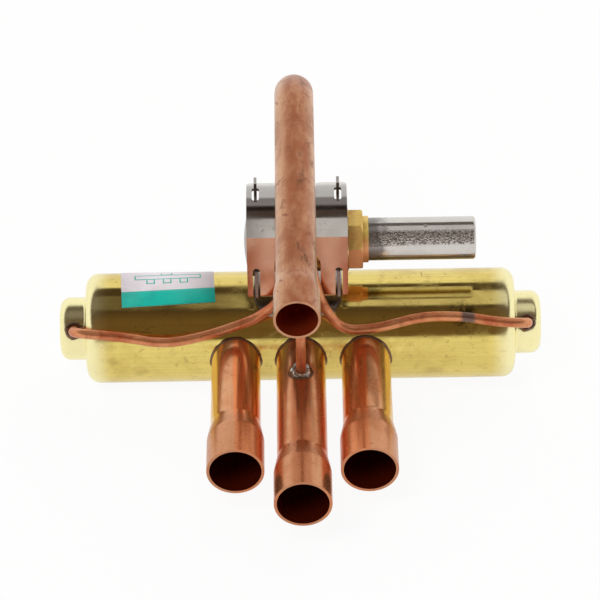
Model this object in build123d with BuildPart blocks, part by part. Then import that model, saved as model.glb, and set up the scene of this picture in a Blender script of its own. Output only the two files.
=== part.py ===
from build123d import *
from math import cos, radians, sin, tan
import os

# Four way reversing valve of a heat pump, in millimetres.
# +X runs along the barrel towards the solenoid's tube, the sockets open towards -Y and +Z is up.
# The origin is on the barrel's axis, at the suction port.

os.makedirs("parts", exist_ok=True)

# Barrel and end caps
barrel_r = 17.9
barrel_wall = 1.8
bore_r = barrel_r - barrel_wall
barrel_half = 62.0              # the seam of barrel and cap
cap_face_x = 69.8               # the step where the boss begins
overall_half = 78.4
shoulder_r = 4.2
boss_r = 10.25
boss_edge_r = 3.3
boss_root_r = 1.0

# Ports, seat and branch tubes
port_pitch = 21.0
port_r = 5.5
seat_half = 33.0
seat_face_y = -9.0
tube_r = 7.94
tube_wall = 0.9
tube_end_y = -11.5              # the tubes stand this deep in the seat
socket_r = 9.1
socket_bore_r = 8.2
socket_len = 14.0
taper_len = 7.0
outer_mouth_y = -71.5
suction_mouth_y = -87.0
taper_round = 5.0

# Discharge tube
discharge_x = -1.0              # it stands a little to the left of the suction tube
discharge_r = 6.35
discharge_wall = 0.8
discharge_start_y = 14.6
bend_start_y = 33.5
bend_r = 31.0
discharge_z = 2 * bend_r
discharge_mouth_y = -73.0
discharge_socket_r = 7.2
discharge_bore_r = 6.42
discharge_socket_len = 12.0
discharge_taper = 5.5

# Braze beads round the tubes
bead_width = 0.8
bead_height = 0.7

# Main slide, carrier and pistons, measured from the shuttle's own centre
shuttle_x = -port_pitch / 2     # at rest it joins the left and middle ports
running_gap = 0.08
slide_half = 21.0
slide_half_z = 11.0
slide_flange_t = 3.0
slide_body_half = 18.4
slide_body_half_z = 8.4
slide_top_y = 3.0
cavity_half = 16.4
cavity_half_z = 6.4
cavity_depth = 9.6
spring_t = 0.3
carrier_t = 1.6
carrier_gap = 0.1
carrier_half_z = 12.4
carrier_half = 47.0
tab_t = 1.6
flow_hole_x = 1.5 * port_pitch
flow_hole_r = 5.6
piston_x = carrier_half + tab_t
piston_t = 3.2
piston_r = 15.4
seal_t = 3.2
seal_r = bore_r - running_gap
seal_plate_t = 1.6
seal_plate_r = 12.5
screw_r = 2.0
screw_head_r = 4.0
screw_head_t = 2.4
screw_tail = 2.5

# Pilot valve
pilot_z = 35.3
pilot_r = 10.0
pilot_bore_r = 7.6
pilot_left_x = -14.25
pilot_right_x = 15.8
plug_r = 11.3
plug_t = 3.4
plug_rim_t = 1.6
plug_spigot = 2.0
collar_right_x = 20.4
collar_corner_r = 10.0
collar_turn = 26.5             # the octagon's turn about its axis, in degrees
collar_chamfer = 0.7
collar_spigot = 3.3
neck_right_x = 22.2
neck_r = 7.5
sleeve_r = 6.9                  # the enclosing tube, which takes the coil
sleeve_bore_r = 6.3
sleeve_tail_r = 6.6             # drawn down where it stands in the collar
sleeve_left_x = 17.0
core_left_x = 43.0
core_head_x = 55.4
core_right_x = 56.6
coil_thread_r = 1.65
coil_thread_depth = 8.0
ring_inner_r = 3.4
ring_outer_r = 4.9
ring_t = 1.4
plunger_left_x = 17.0
plunger_r = sleeve_bore_r - running_gap
pilot_pitch = 3.8               # pitch of the pilot's ports, and the plunger's stroke
plunger_right_x = core_left_x - pilot_pitch - 0.2
spring_pocket_r = 2.6
spring_pocket_x = 28.0
spring_mean_r = 2.05
spring_wire_r = 0.25
spring_turns = 9
groove_w = 2.0
groove_d = 1.2

# Pilot seat, slide and carrier
pilot_port_r = 0.75
pilot_seat_y = -3.0
pilot_seat_half = 8.5
pilot_slide_x = -pilot_pitch / 2
pilot_slide_half = 4.6
pilot_slide_half_z = 3.2
pilot_slide_flange_t = 1.8
pilot_body_half = 3.4
pilot_body_half_z = 2.2
pilot_slide_top_y = 1.6
strip_t = 0.8
strip_half_z = 4.0
strip_left_x = -8.6
strip_right_x = 20.0
strip_y = pilot_seat_y + pilot_slide_flange_t + 0.1
leaf_t = 0.25
leaf_half_z = 1.5

# Bracket and cover
sheet_t = 0.9
bracket_x = -0.6
cheek_x = 13.2
saddle_angle = 39.0
saddle_full_angle = 23.0
saddle_half = 14.3
saddle_tip_half = 11.7
cover_t = 1.0
cover_half = 16.1
cover_front_y = -12.5
cover_back_y = 16.0
cover_bottom_z = 21.4
crown_r = 30.0
crown_y = 2.0
crown_z = 49.9
slot_w = 2.3
top_slot_y = (2.1, 10.3)
front_slot_z = (21.8, 33.8)
notch_half = 7.35
notch_arch_z = 35.0
rear_notch_half = 6.2
rear_notch_y = 9.5
tab_top_z = 53.7
tab_half = 1.7

# Capillaries
capillary_r = 1.6
capillary_bore_r = 0.8
capillary_bend = 120.0          # the largest bend, where a route's runs allow it
boss_entry_x = 73.4
lay_r = 21.0                    # distance of a capillary's line from the barrel's axis
suction_entry_y = -32.7
discharge_entry_y = 13.4

# Label
label_x = (-58.4, -28.2)
label_t = 0.15
label_angle = (63.0, 127.0)


def on_barrel(x, elevation, radius=lay_r):
    """Point at an angle up from the front, at a distance from the barrel's axis."""
    return (x, -radius * cos(radians(elevation)), radius * sin(radians(elevation)))


def bends(points, largest=capillary_bend):
    """Radius of each corner of a route, as large as its two runs allow."""
    radii = []
    for before, corner, after in zip(points, points[1:], points[2:]):
        first = Vector(*corner) - Vector(*before)
        second = Vector(*after) - Vector(*corner)
        turn = radians(first.get_angle(second))
        room = 0.45 * min(first.length, second.length) / tan(turn / 2)
        radii.append(min(largest, room))
    return radii


def capillary(points):
    """Thin tube along straight runs that are joined by tangent arcs."""
    with BuildPart() as tube:
        with BuildLine() as route:
            FilletPolyline(*points, radius=bends(points))
        with BuildSketch(Plane(origin=route.line @ 0, z_dir=route.line % 0)):
            Circle(capillary_r)
            Circle(capillary_bore_r, mode=Mode.SUBTRACT)
        sweep()
    return tube.part


def corner(sketch, x, y):
    """The sketch's corner that lies nearest to a point."""
    return sketch.vertices().sort_by_distance(Vector(x, y))[0]


def cap_section(inset):
    """Half section of an end cap's stepped form, drawn inset from its outer surface."""
    skin_r = barrel_r - inset
    step_x = cap_face_x - inset
    nose_r = boss_r - inset
    end_x = overall_half - inset
    with BuildSketch(Plane.XY, mode=Mode.PRIVATE) as section:
        with BuildLine():
            Polyline(
                (barrel_half, 0),
                (barrel_half, skin_r),
                (step_x, skin_r),
                (step_x, nose_r),
                (end_x, nose_r),
                (end_x, 0),
                close=True,
            )
        make_face()
        fillet(corner(section, step_x, skin_r), shoulder_r - inset)
        fillet(corner(section, step_x, nose_r), boss_root_r + inset)
        fillet(corner(section, end_x, nose_r), boss_edge_r - inset)
    return section.sketch


def branch_wall(port_x, mouth_y):
    """Half section of a straight branch tube, with the swaged socket at its mouth."""
    neck_y = mouth_y + socket_len
    taper_y = neck_y + taper_len
    inner_r = tube_r - tube_wall
    with BuildSketch(Plane.XY, mode=Mode.PRIVATE) as wall:
        with BuildLine():
            Polyline(
                (port_x + inner_r, tube_end_y),
                (port_x + tube_r, tube_end_y),
                (port_x + tube_r, taper_y),
                (port_x + socket_r, neck_y),
                (port_x + socket_r, mouth_y),
                (port_x + socket_bore_r, mouth_y),
                (port_x + socket_bore_r, neck_y),
                (port_x + inner_r, taper_y),
                close=True,
            )
        make_face()
        for x, y in ((tube_r, taper_y), (socket_r, neck_y), (socket_bore_r, neck_y), (inner_r, taper_y)):
            fillet(corner(wall, port_x + x, y), taper_round)
    return wall.sketch


def export(piece, name):
    """Label a finished piece and write it as the node of that name."""
    piece.label = name
    export_step(piece, f"parts/{name}.step")


# Barrel: drawn brass tube with three port holes in front and one behind
with BuildPart() as valve_barrel:
    with BuildSketch(Plane.YZ.offset(-barrel_half)):
        Circle(barrel_r)
        Circle(bore_r, mode=Mode.SUBTRACT)
    extrude(amount=2 * barrel_half)
    with BuildSketch(Plane.XZ):
        with GridLocations(port_pitch, 0, 3, 1):
            Circle(tube_r)
    extrude(amount=2 * barrel_r, mode=Mode.SUBTRACT)
    with BuildSketch(Plane.XZ):
        with Locations((discharge_x, 0)):
            Circle(discharge_r)
    extrude(amount=-2 * barrel_r, mode=Mode.SUBTRACT)
export(valve_barrel.part, "valve_barrel")

# End caps: deep drawn cups, each with a hole in the boss for its capillary
right_entry = on_barrel(boss_entry_x, 38.0, 1.0)
left_entry = on_barrel(-boss_entry_x, 35.5, 1.0)

with BuildPart() as end_cap_right:
    add(cap_section(0))
    revolve(axis=Axis.X)
    add(cap_section(barrel_wall))
    revolve(axis=Axis.X, mode=Mode.SUBTRACT)
    with BuildSketch(Plane(origin=(boss_entry_x, 0, 0), z_dir=(0, right_entry[1], right_entry[2]))):
        Circle(capillary_r)
    extrude(amount=boss_r + 1, mode=Mode.SUBTRACT)
export(end_cap_right.part, "end_cap_right")

with BuildPart() as end_cap_left:
    add(cap_section(0))
    revolve(axis=Axis.X)
    add(cap_section(barrel_wall))
    revolve(axis=Axis.X, mode=Mode.SUBTRACT)
    mirror(about=Plane.YZ, mode=Mode.REPLACE)
    with BuildSketch(Plane(origin=(-boss_entry_x, 0, 0), z_dir=(0, left_entry[1], left_entry[2]))):
        Circle(capillary_r)
    extrude(amount=boss_r + 1, mode=Mode.SUBTRACT)
export(end_cap_left.part, "end_cap_left")

# Seat: D-shaped brass bar in the front of the bore, with a stepped hole for each branch tube
with BuildPart() as valve_seat:
    with BuildSketch(Plane.YZ.offset(-seat_half)):
        Circle(bore_r)
        with Locations((bore_r + seat_face_y, 0)):
            Rectangle(2 * bore_r, 2 * bore_r, mode=Mode.SUBTRACT)
    extrude(amount=2 * seat_half)
    with BuildSketch(Plane.XZ.offset(-tube_end_y)):
        with GridLocations(port_pitch, 0, 3, 1):
            Circle(tube_r)
    extrude(amount=bore_r, mode=Mode.SUBTRACT)
    with BuildSketch(Plane.XZ):
        with GridLocations(port_pitch, 0, 3, 1):
            Circle(port_r)
    extrude(amount=bore_r, mode=Mode.SUBTRACT)
export(valve_seat.part, "valve_seat")

# Branch tubes: evaporator on the left, condenser on the right, the longer suction tube between them
with BuildPart() as evaporator_tube:
    add(branch_wall(-port_pitch, outer_mouth_y))
    revolve(axis=Axis((-port_pitch, 0, 0), (0, 1, 0)))
export(evaporator_tube.part, "evaporator_tube")

with BuildPart() as condenser_tube:
    add(branch_wall(port_pitch, outer_mouth_y))
    revolve(axis=Axis((port_pitch, 0, 0), (0, 1, 0)))
export(condenser_tube.part, "condenser_tube")

with BuildPart() as suction_tube:
    add(branch_wall(0, suction_mouth_y))
    revolve(axis=Axis.Y)
    with BuildSketch(Plane.XY):
        with Locations((0, suction_entry_y)):
            Circle(capillary_r)
    extrude(amount=2 * tube_r, mode=Mode.SUBTRACT)
export(suction_tube.part, "suction_tube")

# Discharge tube: out of the back, round a half turn and forward over the pilot valve
discharge_inner_r = discharge_r - discharge_wall
discharge_neck_y = discharge_mouth_y + discharge_socket_len
discharge_taper_y = discharge_neck_y + discharge_taper
with BuildPart() as discharge_tube:
    with BuildLine():
        Line((0, discharge_start_y, 0), (0, bend_start_y, 0))
        ThreePointArc(
            (0, bend_start_y, 0),
            (0, bend_start_y + bend_r, bend_r),
            (0, bend_start_y, discharge_z),
        )
        Line((0, bend_start_y, discharge_z), (0, discharge_taper_y + 4 * taper_round, discharge_z))
    with BuildSketch(Plane(origin=(0, discharge_start_y, 0), z_dir=(0, 1, 0))):
        Circle(discharge_r)
        Circle(discharge_inner_r, mode=Mode.SUBTRACT)
    sweep()
    with BuildSketch(Plane.XY.offset(discharge_z)) as socket_wall:
        with BuildLine():
            Polyline(
                (discharge_inner_r, discharge_taper_y + 4 * taper_round),
                (discharge_r, discharge_taper_y + 4 * taper_round),
                (discharge_r, discharge_taper_y),
                (discharge_socket_r, discharge_neck_y),
                (discharge_socket_r, discharge_mouth_y),
                (discharge_bore_r, discharge_mouth_y),
                (discharge_bore_r, discharge_neck_y),
                (discharge_inner_r, discharge_taper_y),
                close=True,
            )
        make_face()
        for x, y in (
            (discharge_r, discharge_taper_y),
            (discharge_socket_r, discharge_neck_y),
            (discharge_bore_r, discharge_neck_y),
            (discharge_inner_r, discharge_taper_y),
        ):
            fillet(corner(socket_wall, x, y), taper_round)
    revolve(axis=Axis((0, 0, discharge_z), (0, 1, 0)))
    with BuildSketch(Plane.XY.offset(discharge_z)):
        with Locations((0, discharge_entry_y)):
            Circle(capillary_r)
    extrude(amount=-2 * discharge_r, mode=Mode.SUBTRACT)
# drawn over the barrel's middle and moved to its own place
export(discharge_tube.part.moved(Location((discharge_x, 0, 0))), "discharge_tube")

# Slide: moulded block with an open cavity that joins two neighbouring ports
slide_y = Plane.XZ.offset(-seat_face_y)
with BuildPart() as slide_valve:
    with BuildSketch(slide_y):
        with Locations((shuttle_x, 0)):
            RectangleRounded(2 * slide_half, 2 * slide_half_z, slide_half_z - 1)
    extrude(amount=-slide_flange_t)
    with BuildSketch(slide_y.offset(-slide_flange_t)):
        with Locations((shuttle_x, 0)):
            RectangleRounded(2 * slide_body_half, 2 * slide_body_half_z, slide_body_half_z - 1)
    extrude(amount=-(slide_top_y - seat_face_y - slide_flange_t))
    fillet(slide_valve.faces().sort_by(Axis.Y)[-1].edges(), 2.0)
    with BuildSketch(slide_y):
        with Locations((shuttle_x, 0)):
            RectangleRounded(2 * cavity_half, 2 * cavity_half_z, cavity_half_z - 0.5)
    extrude(amount=-cavity_depth, mode=Mode.SUBTRACT)
    fillet(slide_valve.faces().filter_by(Axis.Y).sort_by(Axis.Y)[-2].edges(), 3.0)
export(slide_valve.part, "slide_valve")

# Leaf spring frame between the slide's flange and the carrier
flange_top = slide_y.offset(-slide_flange_t)
with BuildPart() as slide_spring:
    with BuildSketch(flange_top):
        with Locations((shuttle_x, 0)):
            RectangleRounded(2 * slide_half - 1, 2 * slide_half_z - 1, slide_half_z - 2)
            RectangleRounded(
                2 * slide_body_half + 0.4,
                2 * slide_body_half_z + 0.4,
                slide_body_half_z - 1,
                mode=Mode.SUBTRACT,
            )
    extrude(amount=-spring_t)
export(slide_spring.part, "slide_spring")

# Carrier: pressed plate round the slide, with flow holes and a tab bent up at each end
carrier_y = seat_face_y + slide_flange_t + spring_t + carrier_gap
with BuildPart() as slide_carrier:
    with BuildSketch(Plane.XZ.offset(-carrier_y)):
        with Locations((shuttle_x, 0)):
            RectangleRounded(2 * carrier_half + 2 * tab_t, 2 * carrier_half_z, 2.0)
            RectangleRounded(
                2 * slide_body_half + 0.4,
                2 * slide_body_half_z + 0.4,
                slide_body_half_z - 1,
                mode=Mode.SUBTRACT,
            )
            with GridLocations(2 * flow_hole_x, 0, 2, 1):
                Circle(flow_hole_r, mode=Mode.SUBTRACT)
    extrude(amount=-carrier_t)
    for side in (-1, 1):
        with BuildSketch(Plane.YZ.offset(shuttle_x + side * (carrier_half + tab_t / 2))):
            Circle(carrier_half_z - 3)
            with Locations(((carrier_y + carrier_t / 2) / 2, 0)):
                Rectangle(-carrier_y - carrier_t / 2, 2 * carrier_half_z - 6)
        extrude(amount=tab_t / 2, both=True)
    with BuildSketch(Plane.YZ.offset(shuttle_x)):
        Circle(screw_r)
    extrude(amount=2 * carrier_half, both=True, mode=Mode.SUBTRACT)
export(slide_carrier.part, "slide_carrier")

# Pistons, cup seals, seal plates and their screws, one set at each end of the carrier
plate_x = piston_x + piston_t + seal_t
head_x = plate_x + seal_plate_t


def disc_section(start, thickness, radius, edge=0.4):
    """Half section of a disc that stands off the shuttle's centre and clears its screw."""
    with BuildSketch(Plane.XY, mode=Mode.PRIVATE) as section:
        with Locations((start + thickness / 2, (radius + screw_r) / 2)):
            Rectangle(thickness, radius - screw_r)
        fillet(section.vertices().group_by(Axis.Y)[-1], edge)
    return section.sketch


def seal_section():
    """Half section of a cup seal, whose lip is turned outwards to the pressure side."""
    lip_x = piston_x + piston_t
    with BuildSketch(Plane.XY, mode=Mode.PRIVATE) as section:
        with BuildLine():
            Polyline(
                (lip_x, screw_r),
                (lip_x, seal_r),
                (lip_x + seal_t, seal_r),
                (lip_x + seal_t, seal_r - 1.2),
                (lip_x + 1.2, seal_r - 1.6),
                (lip_x + 1.2, screw_r),
                close=True,
            )
        make_face()
    return section.sketch


def place(section, side):
    """Turn a half section on the right of the shuttle into a solid on one of its two sides."""
    with BuildPart() as turned:
        add(section)
        revolve(axis=Axis.X)
        if side < 0:
            mirror(about=Plane.YZ, mode=Mode.REPLACE)
    return turned.part.moved(Location((shuttle_x, 0, 0)))


sides = {"left": -1, "right": 1}
for name, side in sides.items():
    export(place(disc_section(piston_x, piston_t, piston_r), side), f"piston_{name}")
    export(place(seal_section(), side), f"piston_seal_{name}")


def seal_plate_section():
    """Half section of the plate that clamps a cup seal, with the hub that fills the cup."""
    hub_x = piston_x + piston_t + 1.2
    with BuildSketch(Plane.XY, mode=Mode.PRIVATE) as section:
        with BuildLine():
            Polyline(
                (hub_x, screw_r),
                (hub_x, seal_plate_r - 1),
                (plate_x, seal_plate_r - 1),
                (plate_x, seal_plate_r),
                (head_x, seal_plate_r),
                (head_x, screw_r),
                close=True,
            )
        make_face()
    return section.sketch


def screw_section():
    """Half section of a pan head screw that passes through the whole stack."""
    tail_x = carrier_half - screw_tail
    with BuildSketch(Plane.XY, mode=Mode.PRIVATE) as section:
        with BuildLine():
            Polyline(
                (tail_x, 0),
                (tail_x, screw_r),
                (head_x, screw_r),
                (head_x, screw_head_r),
                (head_x + screw_head_t, screw_head_r),
                (head_x + screw_head_t, 0),
                close=True,
            )
        make_face()
        fillet(corner(section, head_x + screw_head_t, screw_head_r), 1.0)
    return section.sketch


for name, side in sides.items():
    export(place(seal_plate_section(), side), f"seal_plate_{name}")
piston_screws = Compound(children=[place(screw_section(), side) for side in sides.values()])
export(piston_screws, "piston_screws")

# Pilot body: turned cylinder with a through bore, three capillary holes in front and one behind
pilot_axis = Axis((0, 0, pilot_z), (1, 0, 0))
with BuildPart() as pilot_body:
    with BuildSketch(Plane.YZ.offset(pilot_left_x)):
        with Locations((0, pilot_z)):
            Circle(pilot_r)
            Circle(pilot_bore_r, mode=Mode.SUBTRACT)
    extrude(amount=pilot_right_x - pilot_left_x)
    with BuildSketch(Plane.XZ):
        with Locations((0, pilot_z)):
            with GridLocations(pilot_pitch, 0, 3, 1):
                Circle(capillary_r)
    extrude(amount=2 * pilot_r, mode=Mode.SUBTRACT)
    with BuildSketch(Plane.XZ):
        with Locations((discharge_x, pilot_z)):
            Circle(capillary_r)
    extrude(amount=-2 * pilot_r, mode=Mode.SUBTRACT)
export(pilot_body.part, "pilot_body")

# End plug: domed flange outside the body, with a spigot in its bore
dome_h = plug_t - plug_rim_t
dome_r = (plug_r**2 + dome_h**2) / (2 * dome_h)
with BuildPart() as pilot_end_plug:
    with BuildSketch(Plane.YZ.offset(pilot_left_x)):
        with Locations((0, pilot_z)):
            Circle(plug_r)
    extrude(amount=-plug_t)
    with Locations((pilot_left_x - plug_t + dome_r, 0, pilot_z)):
        Sphere(dome_r, mode=Mode.INTERSECT)
    with BuildSketch(Plane.YZ.offset(pilot_left_x)):
        with Locations((0, pilot_z)):
            Circle(pilot_bore_r)
    extrude(amount=plug_spigot)
export(pilot_end_plug.part, "pilot_end_plug")

# Collar: octagonal brass nut form with a chamfered face, a neck and a spigot in the body
with BuildPart() as pilot_collar:
    with BuildSketch(Plane.YZ.offset(pilot_right_x)):
        with Locations((0, pilot_z)):
            Circle(collar_corner_r)
    extrude(amount=collar_right_x - pilot_right_x)
    chamfer(pilot_collar.faces().sort_by(Axis.X)[-1].edges(), collar_chamfer)
    with BuildSketch(Plane.YZ.offset(pilot_right_x)):
        with Locations((0, pilot_z)):
            RegularPolygon(collar_corner_r, 8, rotation=collar_turn)
    extrude(amount=collar_right_x - pilot_right_x, mode=Mode.INTERSECT)
    with BuildSketch(Plane.YZ.offset(collar_right_x)):
        with Locations((0, pilot_z)):
            Circle(neck_r)
    extrude(amount=neck_right_x - collar_right_x)
    with BuildSketch(Plane.YZ.offset(pilot_right_x)):
        with Locations((0, pilot_z)):
            Circle(pilot_bore_r)
    extrude(amount=-collar_spigot)
    with BuildSketch(Plane.YZ.offset(pilot_right_x - collar_spigot)):
        with Locations((0, pilot_z)):
            Circle(sleeve_bore_r)
    extrude(amount=neck_right_x, mode=Mode.SUBTRACT)
    with BuildSketch(Plane.YZ.offset(sleeve_left_x)):
        with Locations((0, pilot_z)):
            Circle(sleeve_tail_r)
    extrude(amount=neck_right_x, mode=Mode.SUBTRACT)
export(pilot_collar.part, "pilot_collar")

# Enclosing tube: thin stainless sleeve that the coil slides over, with a thinner tail in the collar
with BuildPart() as enclosing_tube:
    with BuildSketch(Plane.YZ.offset(sleeve_left_x)):
        with Locations((0, pilot_z)):
            Circle(sleeve_tail_r)
    extrude(amount=neck_right_x - sleeve_left_x)
    with BuildSketch(Plane.YZ.offset(neck_right_x)):
        with Locations((0, pilot_z)):
            Circle(sleeve_r)
    extrude(amount=core_head_x - neck_right_x)
    with BuildSketch(Plane.YZ.offset(sleeve_left_x)):
        with Locations((0, pilot_z)):
            Circle(sleeve_bore_r)
    extrude(amount=core_head_x - sleeve_left_x, mode=Mode.SUBTRACT)
export(enclosing_tube.part, "enclosing_tube")

# Fixed core: closes the tube's end, with the coil screw's hole and a groove for the shading ring
with BuildPart() as fixed_core:
    with BuildSketch(Plane.YZ.offset(core_left_x)):
        with Locations((0, pilot_z)):
            Circle(sleeve_bore_r)
    extrude(amount=core_head_x - core_left_x)
    with BuildSketch(Plane.YZ.offset(core_head_x)):
        with Locations((0, pilot_z)):
            Circle(sleeve_r)
    extrude(amount=core_right_x - core_head_x)
    fillet(fixed_core.faces().sort_by(Axis.X)[-1].edges(), 0.9)
    with BuildSketch(Plane.YZ.offset(core_right_x)):
        with Locations((0, pilot_z)):
            Circle(coil_thread_r)
    extrude(amount=-coil_thread_depth, mode=Mode.SUBTRACT)
    with BuildSketch(Plane.YZ.offset(core_left_x)):
        with Locations((0, pilot_z)):
            Circle(ring_outer_r)
            Circle(ring_inner_r, mode=Mode.SUBTRACT)
    extrude(amount=ring_t, mode=Mode.SUBTRACT)
export(fixed_core.part, "fixed_core")

with BuildPart() as shading_ring:
    with BuildSketch(Plane.YZ.offset(core_left_x)):
        with Locations((0, pilot_z)):
            Circle(ring_outer_r)
            Circle(ring_inner_r, mode=Mode.SUBTRACT)
    extrude(amount=ring_t)
export(shading_ring.part, "shading_ring")

# Plunger: iron core with a spring pocket, two gas grooves and a slot for the slide's strip
with BuildPart() as plunger:
    with BuildSketch(Plane.YZ.offset(plunger_left_x)):
        with Locations((0, pilot_z)):
            Circle(plunger_r)
        with Locations((0, pilot_z + plunger_r), (0, pilot_z - plunger_r)):
            Rectangle(groove_w, 2 * groove_d, mode=Mode.SUBTRACT)
    extrude(amount=plunger_right_x - plunger_left_x)
    with BuildSketch(Plane.YZ.offset(plunger_right_x)):
        with Locations((0, pilot_z)):
            Circle(spring_pocket_r)
    extrude(amount=spring_pocket_x - plunger_right_x, mode=Mode.SUBTRACT)
    with BuildSketch(Plane.YZ.offset(plunger_left_x)):
        with Locations((strip_y + strip_t / 2, pilot_z)):
            Rectangle(strip_t, 2 * strip_half_z)
    extrude(amount=strip_right_x - plunger_left_x, mode=Mode.SUBTRACT)
export(plunger.part, "plunger")

# Return spring, between the pocket's floor and the core
spring_len = core_left_x - spring_pocket_x - 2 * spring_wire_r
with BuildPart() as plunger_spring:
    with BuildLine() as coil:
        Helix(
            pitch=spring_len / spring_turns,
            height=spring_len,
            radius=spring_mean_r,
            center=(spring_pocket_x + spring_wire_r, 0, pilot_z),
            direction=(1, 0, 0),
        )
    with BuildSketch(Plane(origin=coil.line @ 0, z_dir=coil.line % 0)):
        RegularPolygon(spring_wire_r, 6)
    sweep(is_frenet=True)
export(plunger_spring.part, "plunger_spring")

# Pilot seat: small brass block in the front of the pilot's bore, with three stepped ports
with BuildPart() as pilot_seat:
    with BuildSketch(Plane.YZ.offset(-pilot_seat_half)):
        with Locations((0, pilot_z)):
            Circle(pilot_bore_r)
        with Locations((pilot_bore_r + pilot_seat_y, pilot_z)):
            Rectangle(2 * pilot_bore_r, 2 * pilot_bore_r, mode=Mode.SUBTRACT)
    extrude(amount=2 * pilot_seat_half)
    with BuildSketch(Plane.XZ.offset(-pilot_seat_y + 2)):
        with Locations((0, pilot_z)):
            with GridLocations(pilot_pitch, 0, 3, 1):
                Circle(capillary_r)
    extrude(amount=pilot_r, mode=Mode.SUBTRACT)
    with BuildSketch(Plane.XZ):
        with Locations((0, pilot_z)):
            with GridLocations(pilot_pitch, 0, 3, 1):
                Circle(pilot_port_r)
    extrude(amount=pilot_r, mode=Mode.SUBTRACT)
export(pilot_seat.part, "pilot_seat")

# Pilot slide, on its seat at rest over the left and middle ports
with BuildPart() as pilot_slide:
    with BuildSketch(Plane.XZ.offset(-pilot_seat_y)):
        with Locations((pilot_slide_x, pilot_z)):
            RectangleRounded(2 * pilot_slide_half, 2 * pilot_slide_half_z, 1.0)
    extrude(amount=-pilot_slide_flange_t)
    with BuildSketch(Plane.XZ.offset(-pilot_seat_y)):
        with Locations((pilot_slide_x, pilot_z)):
            RectangleRounded(2 * pilot_body_half, 2 * pilot_body_half_z, 0.8)
    extrude(amount=pilot_seat_y - pilot_slide_top_y)
    with BuildSketch(Plane.XZ.offset(-pilot_seat_y)):
        with Locations((pilot_slide_x, pilot_z)):
            SlotOverall(pilot_pitch + 2.2 * pilot_port_r, 2.2 * pilot_port_r)
    extrude(amount=-1.5 * pilot_port_r, mode=Mode.SUBTRACT)
export(pilot_slide.part, "pilot_slide")

# Strip that carries the pilot slide on the plunger
with BuildPart() as pilot_carrier:
    with BuildSketch(Plane.XZ.offset(-strip_y)):
        with Locations(((strip_left_x + strip_right_x) / 2, pilot_z)):
            Rectangle(strip_right_x - strip_left_x, 2 * strip_half_z)
        with Locations((pilot_slide_x, pilot_z)):
            Rectangle(2 * pilot_body_half + 0.1, 2 * pilot_body_half_z + 0.1, mode=Mode.SUBTRACT)
    extrude(amount=-strip_t)
    fillet(pilot_carrier.edges().filter_by(Axis.Y).group_by(Axis.X)[0], 1.0)
export(pilot_carrier.part, "pilot_carrier")

# Leaf spring that presses the pilot slide on its seat
leaf_foot_y = strip_y + strip_t
with BuildPart() as pilot_leaf_spring:
    with BuildSketch(Plane.XY.offset(pilot_z)):
        with BuildLine():
            Polyline(
                (pilot_slide_x - 6.2, leaf_foot_y),
                (pilot_slide_x - 5.4, leaf_foot_y),
                (pilot_slide_x - 4.0, pilot_slide_top_y),
                (pilot_slide_x + 4.0, pilot_slide_top_y),
                (pilot_slide_x + 5.4, leaf_foot_y),
                (pilot_slide_x + 6.2, leaf_foot_y),
                (pilot_slide_x + 6.2, leaf_foot_y + leaf_t),
                (pilot_slide_x + 5.5, leaf_foot_y + leaf_t),
                (pilot_slide_x + 4.1, pilot_slide_top_y + leaf_t),
                (pilot_slide_x - 4.1, pilot_slide_top_y + leaf_t),
                (pilot_slide_x - 5.5, leaf_foot_y + leaf_t),
                (pilot_slide_x - 6.2, leaf_foot_y + leaf_t),
                close=True,
            )
        make_face()
    extrude(amount=leaf_half_z, both=True)
export(pilot_leaf_spring.part, "pilot_leaf_spring")

# Bracket: folded sheet with a saddle on the barrel and two cheeks that hold the pilot body
saddle_r = barrel_r + sheet_t
crown_centre = (crown_y, crown_z - crown_r)
cheek_front_y = cover_front_y + cover_t
cheek_back_y = cheek_front_y + 23.5
foot_setback = 6.5              # the cheek's foot stands this far behind its front edge


def saddle_outline():
    """Plan of the saddle: wide on top, tapered to a tongue in front and behind."""
    wide_y = saddle_r * sin(radians(saddle_full_angle))
    tip_y = saddle_r * sin(radians(saddle_angle))
    with BuildSketch(Plane.XY, mode=Mode.PRIVATE) as plan:
        with BuildLine():
            Polyline(
                (bracket_x - saddle_tip_half, -tip_y),
                (bracket_x + saddle_tip_half, -tip_y),
                (bracket_x + saddle_half, -wide_y),
                (bracket_x + saddle_half, wide_y),
                (bracket_x + saddle_tip_half, tip_y),
                (bracket_x - saddle_tip_half, tip_y),
                (bracket_x - saddle_half, wide_y),
                (bracket_x - saddle_half, -wide_y),
                close=True,
            )
        make_face()
        fillet(plan.vertices().group_by(Axis.Y)[0] + plan.vertices().group_by(Axis.Y)[-1], 1.2)
    return plan.sketch


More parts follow.
